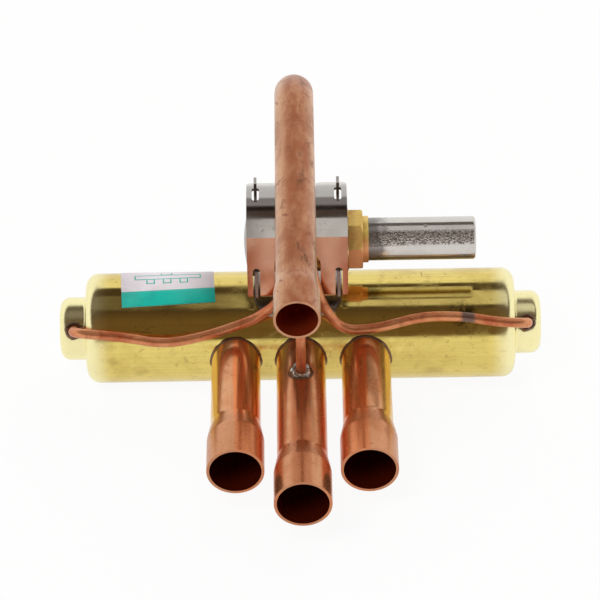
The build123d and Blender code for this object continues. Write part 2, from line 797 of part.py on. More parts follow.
def cheek_outline():
    """Side view of a cheek: seated on the barrel, crowned on top, with its front and top tabs."""
    with BuildSketch(Plane.YZ, mode=Mode.PRIVATE) as side_view:
        with BuildLine():
            Polyline(
                (cheek_front_y, cover_bottom_z),
                (cheek_front_y, crown_z),
                (cheek_back_y, crown_z),
                (cheek_back_y, cover_bottom_z),
                (cheek_back_y - 2, 8),
                (cheek_front_y + foot_setback, 12),
                close=True,
            )
        make_face()
        with Locations(crown_centre):
            Circle(crown_r - cover_t - 0.1, mode=Mode.INTERSECT)
        with Locations((0, 0)):
            Circle(barrel_r, mode=Mode.SUBTRACT)
        with Locations((cheek_front_y - cover_t / 2, sum(front_slot_z) / 2 - 0.4)):
            Rectangle(cover_t + 0.6, front_slot_z[1] - front_slot_z[0] - 1.6)
        with Locations((sum(top_slot_y) / 2, crown_z - 3)):
            Rectangle(top_slot_y[1] - top_slot_y[0] - 0.8, 5.0)
        with Locations((sum(top_slot_y) / 2 + 1.5, (crown_z + tab_top_z) / 2 - 1)):
            Rectangle(2 * tab_half, tab_top_z - crown_z + 2)
        with Locations((0, pilot_z)):
            Circle(pilot_r, mode=Mode.SUBTRACT)
    return side_view.sketch


with BuildPart() as saddle_bracket:
    add(saddle_outline())
    extrude(amount=barrel_r + 2)
    with BuildSketch(Plane.YZ.offset(-saddle_half - 1)):
        Circle(saddle_r)
        Circle(barrel_r, mode=Mode.SUBTRACT)
    extrude(amount=2 * saddle_half + 2, mode=Mode.INTERSECT)
    for side in sides.values():
        cheek = cheek_outline().moved(Location((bracket_x + side * cheek_x, 0, 0)))
        extrude(cheek, amount=sheet_t / 2, dir=(1, 0, 0), both=True)
export(saddle_bracket.part, "saddle_bracket")

# Cover: one folded stainless sheet, flat in front and crowned on top, held by the bracket's tabs


def cover_side(inset):
    """Side view of the space under the cover's skin, inset from its outer face."""
    with BuildSketch(Plane.YZ.offset(bracket_x - cover_half), mode=Mode.PRIVATE) as side_view:
        with BuildLine():
            Polyline(
                (cover_front_y + inset, cover_bottom_z - inset),
                (cover_front_y + inset, crown_z),
                (cover_back_y + inset, crown_z),
                (cover_back_y + inset, cover_bottom_z - inset),
                close=True,
            )
        make_face()
        with Locations(crown_centre):
            Circle(crown_r - inset, mode=Mode.INTERSECT)
        fillet(side_view.vertices().group_by(Axis.Y)[0].sort_by(Axis.Z)[-1], 1.6 - inset)
    return side_view.sketch


with BuildPart() as bracket_cover:
    extrude(cover_side(0), amount=2 * cover_half, dir=(1, 0, 0))
    extrude(cover_side(cover_t), amount=2 * cover_half, dir=(1, 0, 0), mode=Mode.SUBTRACT)
    # inverted-U opening in front, and the notch behind that lets the discharge capillary rise
    with BuildSketch(Plane.XZ.offset(-cover_front_y + 1)) as opening:
        with Locations((bracket_x, notch_arch_z)):
            Circle(notch_half)
        with Locations((bracket_x, (notch_arch_z + cover_bottom_z) / 2 - 1)):
            Rectangle(2 * notch_half, notch_arch_z - cover_bottom_z + 2)
        with Locations(*[(bracket_x + s * cheek_x, front_slot_z[0] - 1) for s in sides.values()]):
            Rectangle(slot_w, 2 * (front_slot_z[1] - slot_w / 2 - front_slot_z[0] + 1))
        with Locations(
            *[(bracket_x + s * cheek_x, front_slot_z[1] - slot_w / 2) for s in sides.values()]
        ):
            Circle(slot_w / 2)
    extrude(amount=-cover_t - 2, mode=Mode.SUBTRACT)
    with BuildSketch(Plane.XY.offset(crown_z + 1)):
        with Locations(
            *[(bracket_x + s * cheek_x, sum(top_slot_y) / 2) for s in sides.values()]
        ):
            SlotOverall(top_slot_y[1] - top_slot_y[0], slot_w, rotation=90)
    extrude(amount=-10, mode=Mode.SUBTRACT)
    with BuildSketch(Plane.XY) as plan:
        with Locations((bracket_x, cover_back_y - 20)):
            Rectangle(2 * cover_half, 40)
        with Locations((bracket_x, rear_notch_y + 10)):
            Rectangle(2 * rear_notch_half, 20, mode=Mode.SUBTRACT)
        fillet(plan.vertices().filter_by(lambda v: v.Y > 0), 2.5)
    extrude(amount=crown_z + 2, mode=Mode.INTERSECT)
export(bracket_cover.part, "bracket_cover")

# Capillaries: bent copper tubes from the pilot to the end caps, the suction and the discharge tube
pilot_front_y = pilot_seat_y - 2.0
side_exit = pilot_pitch

right_route = [
    (side_exit, pilot_front_y, pilot_z),
    (side_exit, -14.8, pilot_z),
    (side_exit + 1.9, -16.3, 27.0),
    (side_exit + 4.0, -16.6, 20.5),
    on_barrel(13.5, 34.0),
    on_barrel(24.0, 35.2),
    on_barrel(39.5, 45.4),
    on_barrel(52.0, 45.0),
    on_barrel(64.0, 39.3),
    on_barrel(boss_entry_x, 38.0),
    on_barrel(boss_entry_x, 38.0, boss_r - barrel_wall),
]
left_route = [
    (-side_exit, pilot_front_y, pilot_z),
    (-side_exit, -15.2, pilot_z),
    (-side_exit - 2.0, -16.0, 24.0),
    on_barrel(-13.5, 46.0),
    on_barrel(-29.0, 32.0),
    on_barrel(-43.5, 24.2),
    on_barrel(-58.0, 31.5),
    on_barrel(-boss_entry_x, 35.5),
    on_barrel(-boss_entry_x, 35.5, boss_r - barrel_wall),
]
suction_route = [
    (0, pilot_front_y, pilot_z),
    (0, -20.5, pilot_z),
    (0, suction_entry_y, 22.0),
    (0, suction_entry_y, tube_r - tube_wall),
]
discharge_route = [
    (discharge_x, pilot_bore_r, pilot_z),
    (discharge_x, discharge_entry_y, pilot_z),
    (discharge_x, discharge_entry_y, discharge_z - discharge_r + discharge_wall),
]
routes = {
    "left": left_route,
    "right": right_route,
    "suction": suction_route,
    "discharge": discharge_route,
}
tubes = {name: capillary(points) for name, points in routes.items()}
for name, tube in tubes.items():
    export(tube, f"capillary_{name}")


# Brazed joints: a bead round each branch tube, and a small cone where each capillary ends
def tube_bead(at_x, radius, side):
    """Ring of braze that lies on the barrel round a tube, in front for -1 and behind for 1."""
    with BuildPart() as bead:
        with BuildSketch(Plane.XZ):
            with Locations((at_x, 0)):
                Circle(radius + bead_width)
                Circle(radius, mode=Mode.SUBTRACT)
        extrude(amount=-side * (barrel_r + 3))
        with BuildSketch(Plane.YZ.offset(at_x - 2 * radius)):
            Circle(barrel_r + bead_height)
            Circle(barrel_r, mode=Mode.SUBTRACT)
        extrude(amount=4 * radius, mode=Mode.INTERSECT)
    return bead.part


port_brazes = Compound(
    children=[tube_bead(x, tube_r, -1) for x in (-port_pitch, 0, port_pitch)]
    + [tube_bead(discharge_x, discharge_r, 1)]
)
export(port_brazes, "port_brazes")


def capillary_cone(foot, lean, host, root_r, height):
    """Cone of braze on a host's surface, round a capillary that leaves along lean."""
    place_at = Plane(origin=foot, z_dir=lean)
    with BuildPart(place_at) as cone:
        Cone(root_r, capillary_r + 0.1, height + 1, align=(Align.CENTER, Align.CENTER, Align.MIN))
        Cylinder(capillary_r, 4 * height, mode=Mode.SUBTRACT)
    return cone.part - host


def rod(radius, start, end):
    """Solid cylinder between two points, the filled form of a piece that a cone stands on."""
    axis = Vector(*end) - Vector(*start)
    with BuildPart(Plane(origin=start, z_dir=axis)) as solid:
        Cylinder(radius, axis.length, align=(Align.CENTER, Align.CENTER, Align.MIN))
    return solid.part


discharge_low_z = discharge_z - discharge_r
right_out = Vector(0, right_entry[1], right_entry[2])
left_out = Vector(0, left_entry[1], left_entry[2])
right_boss = rod(boss_r, (cap_face_x, 0, 0), (overall_half, 0, 0))
left_boss = rod(boss_r, (-cap_face_x, 0, 0), (-overall_half, 0, 0))
suction_host = rod(tube_r, (0, suction_entry_y - 9, 0), (0, suction_entry_y + 9, 0))
discharge_host = rod(discharge_r, (discharge_x, 0, discharge_z), (discharge_x, 30, discharge_z))
capillary_brazes = Compound(
    children=[
        capillary_cone(Vector(boss_entry_x, 0, 0) + right_out * (boss_r - 1), right_out, right_boss, 3.2, 2.0),
        capillary_cone(Vector(-boss_entry_x, 0, 0) + left_out * (boss_r - 1), left_out, left_boss, 3.2, 2.0),
        capillary_cone((0, suction_entry_y, tube_r - 1), (0, 0, 1), suction_host, 3.6, 1.6),
        capillary_cone(
            (discharge_x, discharge_entry_y, discharge_low_z + 1), (0, 0, -1), discharge_host, 3.0, 1.6
        ),
    ]
)
export(capillary_brazes, "capillary_brazes")

# Label: thin sheet wrapped on the barrel
with BuildPart() as port_label:
    with BuildSketch(Plane.XY):
        with Locations((sum(label_x) / 2, barrel_r + label_t / 2)):
            Rectangle(label_x[1] - label_x[0], label_t)
    revolve(axis=Axis.X, revolution_arc=label_angle[1] - label_angle[0])
# the strip is drawn from the back of the barrel and turned up over its top
export(port_label.part.rotate(Axis.X, 180 - label_angle[1]), "port_label")
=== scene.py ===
from math import cos, pi, radians, sin, sqrt

import bmesh
import bpy
from mathutils import Matrix, Vector, noise


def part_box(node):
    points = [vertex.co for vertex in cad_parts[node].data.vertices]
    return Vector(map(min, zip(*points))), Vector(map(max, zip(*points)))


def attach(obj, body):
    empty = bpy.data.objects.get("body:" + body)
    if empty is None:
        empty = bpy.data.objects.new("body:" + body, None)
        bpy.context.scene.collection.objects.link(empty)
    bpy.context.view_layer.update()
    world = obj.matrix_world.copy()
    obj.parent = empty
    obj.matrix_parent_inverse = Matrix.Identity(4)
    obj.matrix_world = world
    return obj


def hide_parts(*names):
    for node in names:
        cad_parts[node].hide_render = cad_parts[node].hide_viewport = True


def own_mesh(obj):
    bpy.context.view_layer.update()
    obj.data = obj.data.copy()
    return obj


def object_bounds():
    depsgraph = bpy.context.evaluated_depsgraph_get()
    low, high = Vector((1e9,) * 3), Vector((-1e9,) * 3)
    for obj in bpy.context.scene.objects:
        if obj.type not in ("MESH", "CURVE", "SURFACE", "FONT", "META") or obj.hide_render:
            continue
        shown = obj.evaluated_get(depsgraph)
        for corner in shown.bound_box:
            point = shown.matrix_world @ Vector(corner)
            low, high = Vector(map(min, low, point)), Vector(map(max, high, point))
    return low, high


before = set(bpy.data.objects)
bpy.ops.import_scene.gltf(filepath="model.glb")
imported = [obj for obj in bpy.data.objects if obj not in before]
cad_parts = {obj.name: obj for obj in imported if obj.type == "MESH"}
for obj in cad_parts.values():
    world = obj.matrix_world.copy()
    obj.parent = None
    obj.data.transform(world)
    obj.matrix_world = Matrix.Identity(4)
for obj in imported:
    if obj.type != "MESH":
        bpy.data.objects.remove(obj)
cad_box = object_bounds()

bl_info = {
    "name": "Four Way Reversing Valve",
    "version": (1, 0, 0),
    "blender": (4, 5, 0),
    "location": "3D View > Sidebar > Valve",
    "description": "Dresses the frame of a heat pump's four way reversing valve",
    "category": "Add Mesh",
}

MM = 0.001
VALVE = "valve"


# Places and sizes, read from the frame


def low(node, axis):
    """Lowest coordinate of a CAD node along an axis, 0 to 2."""
    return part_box(node)[0][axis]


def high(node, axis):
    """Highest coordinate of a CAD node along an axis, 0 to 2."""
    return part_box(node)[1][axis]


def half(node, axis):
    """Half the size of a CAD node along an axis."""
    return (high(node, axis) - low(node, axis)) / 2


def middle(node):
    """Centre of a CAD node's box."""
    lowest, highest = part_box(node)
    return (lowest + highest) / 2


BARREL_R = half("valve_barrel", 1)
SEAM_X = high("valve_barrel", 0)
PORT_PITCH = middle("condenser_tube").x
PILOT_Z = middle("pilot_body").z

# The tubes' sockets are wider than the tubes, by these steps in radius.
BRANCH_SOCKET_STEP = 1.16 * MM
DISCHARGE_SOCKET_STEP = 0.85 * MM
TUBE_R = half("suction_tube", 2) - BRANCH_SOCKET_STEP
DISCHARGE_X = middle("discharge_tube").x
DISCHARGE_R = half("discharge_tube", 0) - DISCHARGE_SOCKET_STEP
DISCHARGE_Z = high("discharge_tube", 2) - half("discharge_tube", 0)

# In front of this the tubes' bores are tinted.
MOUTH_Y = low("suction_tube", 1) / 2

# The left and right capillaries enter the caps' bosses at this distance from the middle, facing
# forward and up by these angles in degrees above level.
CAPILLARY_R = half("capillary_discharge", 0)
CAP_ENTRY_X = 73.4 * MM
CAP_ENTRY_LEANS = {"right": 38.0, "left": 35.5}
BOSS_R = half("end_cap_right", 1) - 7.65 * MM
BOSS_SINK = 0.2 * MM
JOINT_X = 54.5 * MM
DISCHARGE_ENTRY_Y = high("capillary_discharge", 1) - CAPILLARY_R

# Rings of braze as (gap round the tube, bead radius, lumpiness).
BRANCH_BEAD = (0.15 * MM, 0.4 * MM, 0.5)
DISCHARGE_BEAD = (0.2 * MM, 0.5 * MM, 0.5)
CAP_BEAD = (0.55 * MM, 0.85 * MM, 0.6)
SUCTION_COLLAR = (0.75 * MM, 1.3 * MM, 0.45)
SUCTION_SKIRT = (2.1 * MM, 0.4 * MM, 0.8)
DISCHARGE_ENTRY_BEAD = (0.7 * MM, 0.8 * MM, 0.6)
TUBE_BEAD_STEPS = 96
LUMPS_PER_METRE = 420

SPRING_WIRE_R = 0.25 * MM
SPRING_TURNS = 9

# The label as (left, right, foot, head) in mm on its own sheet, which is bent round the barrel.
LABEL_SHEET = (0.0, 30.2, 0.0, 20.8)
LABEL_PRINT = [
    (0.0, 30.2, 0.0, 5.9),
    (4.4, 26.0, 11.6, 12.0),
    (4.4, 26.0, 14.4, 14.8),
    (4.4, 4.8, 11.6, 14.8),
    (25.6, 26.0, 11.6, 14.8),
    (13.0, 16.8, 14.8, 15.2),
    (13.0, 13.4, 14.8, 17.0),
    (16.4, 16.8, 14.8, 17.0),
]
PORT_MARK = [(0.0, 0.4, 9.4, 11.6), (2.4, 2.8, 9.4, 11.6), (0.0, 2.8, 9.1, 9.5)]
PORT_MARKS_X = (8.2, 13.6, 19.0)
LABEL_ROWS_PER_MM = 1.5
LABEL_MARGIN = 0.9 * MM
LABEL_FOOT_ANGLE = radians(60.3)
LABEL_TILT = radians(2.9)
LABEL_LIFT = 0.10 * MM
PRINT_LIFT = 0.13 * MM
PRINT_THICKNESS = 0.03 * MM

# Marks that use has left on the barrel, in metres, as (centre, radius, strength).
BARREL_SPOTS = (
    ((-0.0520, -0.0172, -0.0045), 0.0045, 0.35),
    ((-0.0605, -0.0176, 0.0005), 0.0035, 0.3),
    ((0.0430, -0.0168, -0.0060), 0.0050, 0.3),
)
BURNT_CENTRE = (0.0525, -0.0130, 0.0135)
BURNT_RADIUS = 7.5 * MM
SAND_SCALE = 1700.0

# Lamps as (name, location, target, size, power in watts, mirrored in metal).
LAMPS = (
    ("key_light", (-0.5, -0.7, 1.3), (0, 0, 0), (0.7, 0.7), 11.5, False),
    ("back_light", (0.4, 0.9, 1.0), (0, 0, 0), (0.8, 0.8), 6.5, False),
    ("right_panel", (0.288, 0.035, 0.6), (0.288, 0.035, 0), (0.636, 0.35), 0.42, True),
    ("left_panel", (-0.34, 0.035, 0.6), (-0.34, 0.035, 0), (0.51, 0.35), 0.07, True),
)
FLOOR_GAP = 0.2 * MM
FLOOR_HALF_SIZE = 6.0
FLOOR_WHITE_IN_MIRRORS = 0.7
FLOOR_WHITE_IN_VIEW = 0.93
CEILING_ELEVATION = radians(72)
CEILING_TONE = (0.075, 0.052, 0.042, 1)
CEILING_FRONT_TONE = (0.16, 0.105, 0.06, 1)


# Mesh tools


def finish_piece(bm, name, body, replaced, material):
    """Turn a bmesh into a piece that rides on a body and stands for CAD nodes."""
    mesh = bpy.data.meshes.new(name)
    bm.to_mesh(mesh)
    bm.free()
    for face in mesh.polygons:
        face.use_smooth = True
    piece = bpy.data.objects.new(name, mesh)
    bpy.context.scene.collection.objects.link(piece)
    mesh.materials.append(material)
    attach(piece, body)
    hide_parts(*replaced)
    return piece


def saddle(radius, axis):
    """Seat for a ring on a round wall, which falls away from the ring's plane along an axis."""

    def height(place):
        return sqrt(max(radius**2 - place[axis] ** 2, 0.0)) - radius

    return height


def lumpy_ring(tube_r, gap, bead_r, lumps, seat, steps=72):
    """Uneven ring of braze about Z round a tube, each point lifted by its seat to lie on its host."""
    ring_r = tube_r + gap
    bm = bmesh.new()
    upright = Matrix.Translation((ring_r, 0, 0)) @ Matrix.Rotation(pi / 2, 4, "X")
    bmesh.ops.create_circle(bm, segments=12, radius=bead_r, matrix=upright)
    bmesh.ops.spin(
        bm,
        geom=bm.verts[:] + bm.edges[:],
        cent=(0, 0, 0),
        axis=(0, 0, 1),
        angle=2 * pi,
        steps=steps,
        use_merge=True,
    )
    bmesh.ops.remove_doubles(bm, verts=bm.verts, dist=1e-6)
    bmesh.ops.recalc_face_normals(bm, faces=bm.faces)
    for vert in bm.verts:
        swell = 1 + lumps * noise.fractal(vert.co * LUMPS_PER_METRE, 1.0, 2.0, 3)
        core = Vector((vert.co.x, vert.co.y, 0)).normalized() * ring_r
        vert.co = core + (vert.co - core) * swell
        vert.co.z += seat(vert.co)
    return bm


def coil_about_x(left, right, coil_r, wire_r, centre_z, turns, steps=24):
    """Helical spring about a line along X, spun turn by turn and closed at its ends."""
    bm = bmesh.new()
    at_start = Matrix.Translation((left + wire_r, 0, centre_z + coil_r)) @ Matrix.Rotation(pi / 2, 4, "X")
    bmesh.ops.create_circle(bm, segments=10, radius=wire_r, matrix=at_start)
    advance = (right - left - 2 * wire_r) / (turns * steps)
    bmesh.ops.spin(
        bm,
        geom=bm.verts[:] + bm.edges[:],
        cent=(0, 0, centre_z),
        axis=(1, 0, 0),
        dvec=(advance, 0, 0),
        angle=2 * pi * turns,
        steps=turns * steps,
    )
    bmesh.ops.holes_fill(bm, edges=[edge for edge in bm.edges if edge.is_boundary])
    bmesh.ops.recalc_face_normals(bm, faces=bm.faces)
    return bm


def merged(parts):
    """One bmesh from several, each given with its place."""
    whole = bmesh.new()
    for bm, place in parts:
        bmesh.ops.transform(bm, matrix=place, verts=bm.verts)
        made = bpy.data.meshes.new("part")
        bm.to_mesh(made)
        bm.free()
        whole.from_mesh(made)
        bpy.data.meshes.remove(made)
    bmesh.ops.recalc_face_normals(whole, faces=whole.faces)
    return whole


# Shader tools


def new_group(name, inputs, outputs):
    """Empty node group with named float or colour sockets, and its two end nodes."""
    group = bpy.data.node_groups.new(name, "ShaderNodeTree")
    for label, kind, default in inputs:
        socket = group.interface.new_socket(name=label, in_out="INPUT", socket_type=kind)
        if default is not None:
            socket.default_value = default
    for label, kind in outputs:
        group.interface.new_socket(name=label, in_out="OUTPUT", socket_type=kind)
    return group, group.nodes.new("NodeGroupInput"), group.nodes.new("NodeGroupOutput")


def node(tree, kind, settings=None, **inputs):
    """Node with its settings, and its inputs, named or numbered, as values or as sockets to link."""
    made = tree.nodes.new(kind)
    for key, value in (settings or {}).items():
        setattr(made, key, value)
    for key, value in inputs.items():
        by_number = key[0] == "i" and key[1:].isdigit()
        socket = made.inputs[int(key[1:]) if by_number else key.replace("_", " ")]
        if isinstance(value, bpy.types.NodeSocket):
            tree.links.new(value, socket)
        else:
            socket.default_value = value
    return made


def math(tree, operation, *values, clamp=False):
    """Output of a Math node."""
    inputs = {f"i{number}": value for number, value in enumerate(values)}
    return node(tree, "ShaderNodeMath", {"operation": operation, "use_clamp": clamp}, **inputs).outputs[0]


def times(tree, first, second):
    """Product of two values."""
    return math(tree, "MULTIPLY", first, second)


def split(tree, vector):
    """The outputs X, Y and Z of a vector."""
    return node(tree, "ShaderNodeSeparateXYZ", Vector=vector).outputs


def dot(tree, vector, direction):
    """How far a vector points in a direction."""
    made = node(tree, "ShaderNodeVectorMath", {"operation": "DOT_PRODUCT"}, i0=vector, i1=direction)
    return made.outputs["Value"]


def mapped(tree, vector, **inputs):
    """A vector that a Mapping node has moved, turned or stretched."""
    return node(tree, "ShaderNodeMapping", Vector=vector, **inputs).outputs[0]


def mottle(tree, vector, scale, detail, **inputs):
    """Output of a Noise texture."""
    made = node(tree, "ShaderNodeTexNoise", Vector=vector, Scale=scale, Detail=detail, **inputs)
    return made.outputs["Fac"]


def spread(tree, value, start, end, low_out=0.0, high_out=1.0):
    """Output of a smooth Map Range from start..end to low_out..high_out."""
    made = node(
        tree,
        "ShaderNodeMapRange",
        {"interpolation_type": "SMOOTHSTEP"},
        Value=value,
        From_Min=start,
        From_Max=end,
        To_Min=low_out,
        To_Max=high_out,
    )
    return made.outputs[0]


def blend_colour(tree, factor, first, second):
    """Colour output of a Mix node."""
    made = node(tree, "ShaderNodeMix", {"data_type": "RGBA"}, i0=factor, i6=first, i7=second)
    return made.outputs[2]


def scratches_group():
    """Thin marks along two slanted directions, as a mask."""
    group, given, result = new_group(
        "fine_scratches",
        [("Vector", "NodeSocketVector", None), ("Density", "NodeSocketFloat", 0.5)],
        [("Mask", "NodeSocketFloat")],
    )
    masks = []
    for turn, stretch in (((0.2, 0.5, 0.4), (900, 40, 900)), ((1.1, -0.3, 1.3), (40, 1100, 700))):
        turned = mapped(group, given.outputs["Vector"], Rotation=turn, Scale=stretch)
        thin = spread(group, mottle(group, turned, 1.0, 2.0), 0.66, 0.74)
        where = spread(group, mottle(group, given.outputs["Vector"], 120.0, 2.0), 0.45, 0.65)
        masks.append(times(group, thin, where))
    both = math(group, "MAXIMUM", masks[0], masks[1])
    amount = math(group, "MULTIPLY", both, given.outputs["Density"], clamp=True)
    group.links.new(amount, result.inputs["Mask"])
    return group


def smudges_group():
    """Soft uneven patches, darker stains and small specks, as three masks."""
    group, given, result = new_group(
        "smudges",
        [("Vector", "NodeSocketVector", None), ("Scale", "NodeSocketFloat", 60.0)],
        [("Patches", "NodeSocketFloat"), ("Stains", "NodeSocketFloat"), ("Specks", "NodeSocketFloat")],
    )
    vector, scale = given.outputs["Vector"], given.outputs["Scale"]
    moved = mapped(group, vector, Location=(0.37, 0.11, 0.53))
    wide = mottle(group, vector, scale, 5.0, Roughness=0.6, Distortion=0.6)
    torn = mottle(group, moved, times(group, scale, 2.2), 6.0, Roughness=0.7, Distortion=1.5)
    fine = mottle(group, vector, times(group, scale, 9.0), 3.0)
    group.links.new(spread(group, wide, 0.40, 0.70), result.inputs["Patches"])
    group.links.new(spread(group, torn, 0.56, 0.66), result.inputs["Stains"])
    group.links.new(spread(group, fine, 0.62, 0.72), result.inputs["Specks"])
    return group


def drawn_lines_group():
    """Faint lines that drawing leaves along a tube, stretched along one axis of the vector."""
    group, given, result = new_group(
        "drawn_lines",
        [("Vector", "NodeSocketVector", None)],
        [("Lines", "NodeSocketFloat")],
    )
    fine = mottle(group, given.outputs["Vector"], 1.0, 3.0, Roughness=0.7)
    group.links.new(spread(group, fine, 0.3, 0.7), result.inputs["Lines"])
    return group


GROUPS = {
    "scratches": scratches_group(),
    "smudges": smudges_group(),
    "lines": drawn_lines_group(),
}


def place_group(tree, name, **inputs):
    """The outputs of one of the shared groups, placed in a material."""
    return node(tree, "ShaderNodeGroup", {"node_tree": GROUPS[name]}, **inputs).outputs


def new_material(name):
    """Material with one Principled shader, and its object coordinates."""
    material = bpy.data.materials.new(name)
    material.use_nodes = True
    tree = material.node_tree
    shader = tree.nodes["Principled BSDF"]
    coords = tree.nodes.new("ShaderNodeTexCoord").outputs["Object"]
    return material, tree, shader, coords


def near_point(tree, coords, centre, radius):
    """Mask that is 1 at a point and fades out raggedly at a distance from it."""
    away = node(tree, "ShaderNodeVectorMath", {"operation": "DISTANCE"}, i0=coords, i1=centre)
    reach = times(tree, mottle(tree, coords, 400.0, 3.0), radius)
    distance = math(tree, "ADD", away.outputs["Value"], reach)
    return spread(tree, distance, 0.5 * radius, 1.4 * radius, 1.0, 0.0)


def normal_of(tree):
    """The surface's own normal, on the object's axes."""
    return tree.nodes.new("ShaderNodeTexCoord").outputs["Normal"]


def facing(tree, direction, start, end):
    """Mask of the surface that faces a direction, by its own normal."""
    return spread(tree, dot(tree, normal_of(tree), direction), start, end)


def across_tube(tree, along_x, pitch):
    """Distance along X from the axis of the nearest of several tubes at a pitch."""
    return math(tree, "WRAP", along_x, pitch / 2, -pitch / 2)


def bore_of(tree, coords, centre_x, centre_z, pitch):
    """Mask of the inside of tubes along Y that stand side by side at a pitch."""
    place = split(tree, coords)
    normal = split(tree, normal_of(tree))
    across = across_tube(tree, math(tree, "SUBTRACT", place["X"], centre_x), pitch)
    upward = math(tree, "SUBTRACT", place["Z"], centre_z)
    outward = math(tree, "ADD", times(tree, across, normal["X"]), times(tree, upward, normal["Z"]))
    near_mouth = spread(tree, place["Y"], MOUTH_Y + 10 * MM, MOUTH_Y)
    return times(tree, near_mouth, spread(tree, outward, -2 * MM, -4 * MM))


def sand(tree, coords):
    """The fine grain of a sandy surface."""
    return mottle(tree, coords, SAND_SCALE, 2.0)


def metal(
    name,
    clean,
    worn,
    dark,
    roughness,
    stretch,
    marks=0.5,
    patches=0.5,
    stains=0.0,
    scale=60.0,
    bump=0.05,
    grain=0.0,
    grain_of=None,
    line_depth=0.4,
    purity=1.0,
    spots=(),
    overlays=(),
    rough_where=None,
    rougher=0.2,
):
    """Bare metal: patches, stains, drawn lines along one axis, scratches, specks and uneven gloss.

    Its colours go from clean through worn to dark. Spots are (centre, radius, strength). Overlays
    are (mask function, strength, colour). grain_of and rough_where are mask functions too, for
    where the surface is sandy by grain, and rougher by rougher.
    """
    material, tree, shader, coords = new_material(name)
    dirt = place_group(tree, "smudges", Vector=coords, Scale=scale)
    lines = place_group(tree, "lines", Vector=mapped(tree, coords, Scale=stretch))["Lines"]
    cuts = place_group(tree, "scratches", Vector=coords, Density=marks)["Mask"]
    colour = blend_colour(tree, times(tree, dirt["Patches"], patches), (*clean, 1), (*worn, 1))
    colour = blend_colour(tree, times(tree, lines, 0.18 * patches), colour, (*dark, 1))
    stained = times(tree, dirt["Stains"], stains)
    stained = math(tree, "MAXIMUM", stained, times(tree, dirt["Specks"], 0.5 * patches))
    stained = math(tree, "MAXIMUM", stained, times(tree, cuts, 0.6))
    for centre, radius, strength in spots:
        spot = near_point(tree, coords, centre, radius)
        stained = math(tree, "MAXIMUM", stained, times(tree, spot, strength))
    colour = blend_colour(tree, stained, colour, (*dark, 1))
    for mask_of, strength, tone in overlays:
        colour = blend_colour(tree, times(tree, mask_of(tree, coords), strength), colour, (*tone, 1))
    tree.links.new(colour, shader.inputs["Base Color"])
    shader.inputs["Metallic"].default_value = purity
    uneven = math(tree, "MULTIPLY_ADD", dirt["Patches"], 0.10, roughness)
    rough = math(tree, "ADD", uneven, times(tree, stained, 0.2))
    if rough_where:
        rough = math(tree, "ADD", rough, times(tree, rough_where(tree, coords), rougher))
    tree.links.new(rough, shader.inputs["Roughness"])
    height = math(tree, "SUBTRACT", times(tree, lines, line_depth), cuts)
    if grain_of:
        sandy = times(tree, times(tree, sand(tree, coords), grain), grain_of(tree, coords))
        height = math(tree, "ADD", height, sandy)
    relief = node(tree, "ShaderNodeBump", Height=height, Strength=bump, Distance=0.2 * MM)
    tree.links.new(relief.outputs[0], shader.inputs["Normal"])
    return material


def polymer(name, colour, shade, roughness):
    """Moulded plastic with faint uneven colour."""
    material, tree, shader, coords = new_material(name)
    dirt = place_group(tree, "smudges", Vector=coords, Scale=90.0)
    shaded = times(tree, dirt["Patches"], 0.5)
    tone = blend_colour(tree, shaded, (*colour, 1), (*shade, 1))
    tree.links.new(tone, shader.inputs["Base Color"])
    shader.inputs["Roughness"].default_value = roughness
    return material


# Finishes of this valve, one function for each, with their masks before them


def tint(name):
    """One of the valve's main colours, as the user has set it."""
    return tuple(getattr(bpy.context.scene.valve_colours, name))


def caps_painted_pale(tree, coords):
    """Mask of the caps beyond the barrel, which are less polished and carry a painted pale reflection."""
    along = math(tree, "ABSOLUTE", split(tree, coords)["X"])
    return spread(tree, along, SEAM_X - 1 * MM, SEAM_X + 6 * MM)


def handled(tree, coords):
    """Mask of the caps, and of the faint clouds and rubbed streaks that handling leaves on brass."""
    slanted = mapped(tree, coords, Scale=(55, 110, 110), Rotation=(0, 0, 0.5))
    clouds = mottle(tree, slanted, 1.0, 7.0, Roughness=0.68, Distortion=0.8)
    return math(tree, "MAXIMUM", caps_painted_pale(tree, coords), spread(tree, clouds, 0.46, 0.68))


def burnt_mark(tree, coords):
    """Mask of the ragged burnt mark on the barrel behind the right capillary's joint."""
    torn = mottle(tree, coords, 420.0, 4.0, Roughness=0.7)
    mark = near_point(tree, coords, BURNT_CENTRE, BURNT_RADIUS)
    return times(tree, mark, spread(tree, torn, 0.42, 0.52))


def barrel_brass():
    """Polished brass, a little worn, with a painted pale reflection on the caps and a burnt mark behind
    one capillary.
    """
    return metal(
        "barrel_brass",
        clean=tint("brass"),
        worn=tint("brass_worn"),
        dark=(0.30, 0.20, 0.06),
        roughness=0.10,
        stretch=(25, 900, 900),
        marks=1.1,
        patches=0.7,
        stains=0.16,
        scale=60.0,
        spots=BARREL_SPOTS,
        line_depth=0.12,
        overlays=(
            # Painted reflection: the caps are painted paler for the white that they mirror.
            (caps_painted_pale, 0.9, (1.0, 0.93, 0.52)),
            (burnt_mark, 1.0, (0.03, 0.02, 0.015)),
        ),
        rough_where=handled,
        rougher=0.14,
    )


def turned_brass():
    """Brass with fine turning rings."""
    return metal(
        "turned_brass",
        clean=(0.70, 0.52, 0.20),
        worn=(0.56, 0.34, 0.13),
        dark=(0.28, 0.16, 0.06),
        roughness=0.22,
        stretch=(2200, 200, 200),
        marks=0.2,
        patches=0.9,
        stains=0.3,
        scale=140.0,
    )


def painted_reflection_below(tree, coords):
    """Mask of the surface that faces down and forward, where a reflection of the copper below is painted.
    """
    return facing(tree, (0, -0.7, -0.7), -0.1, 0.5)


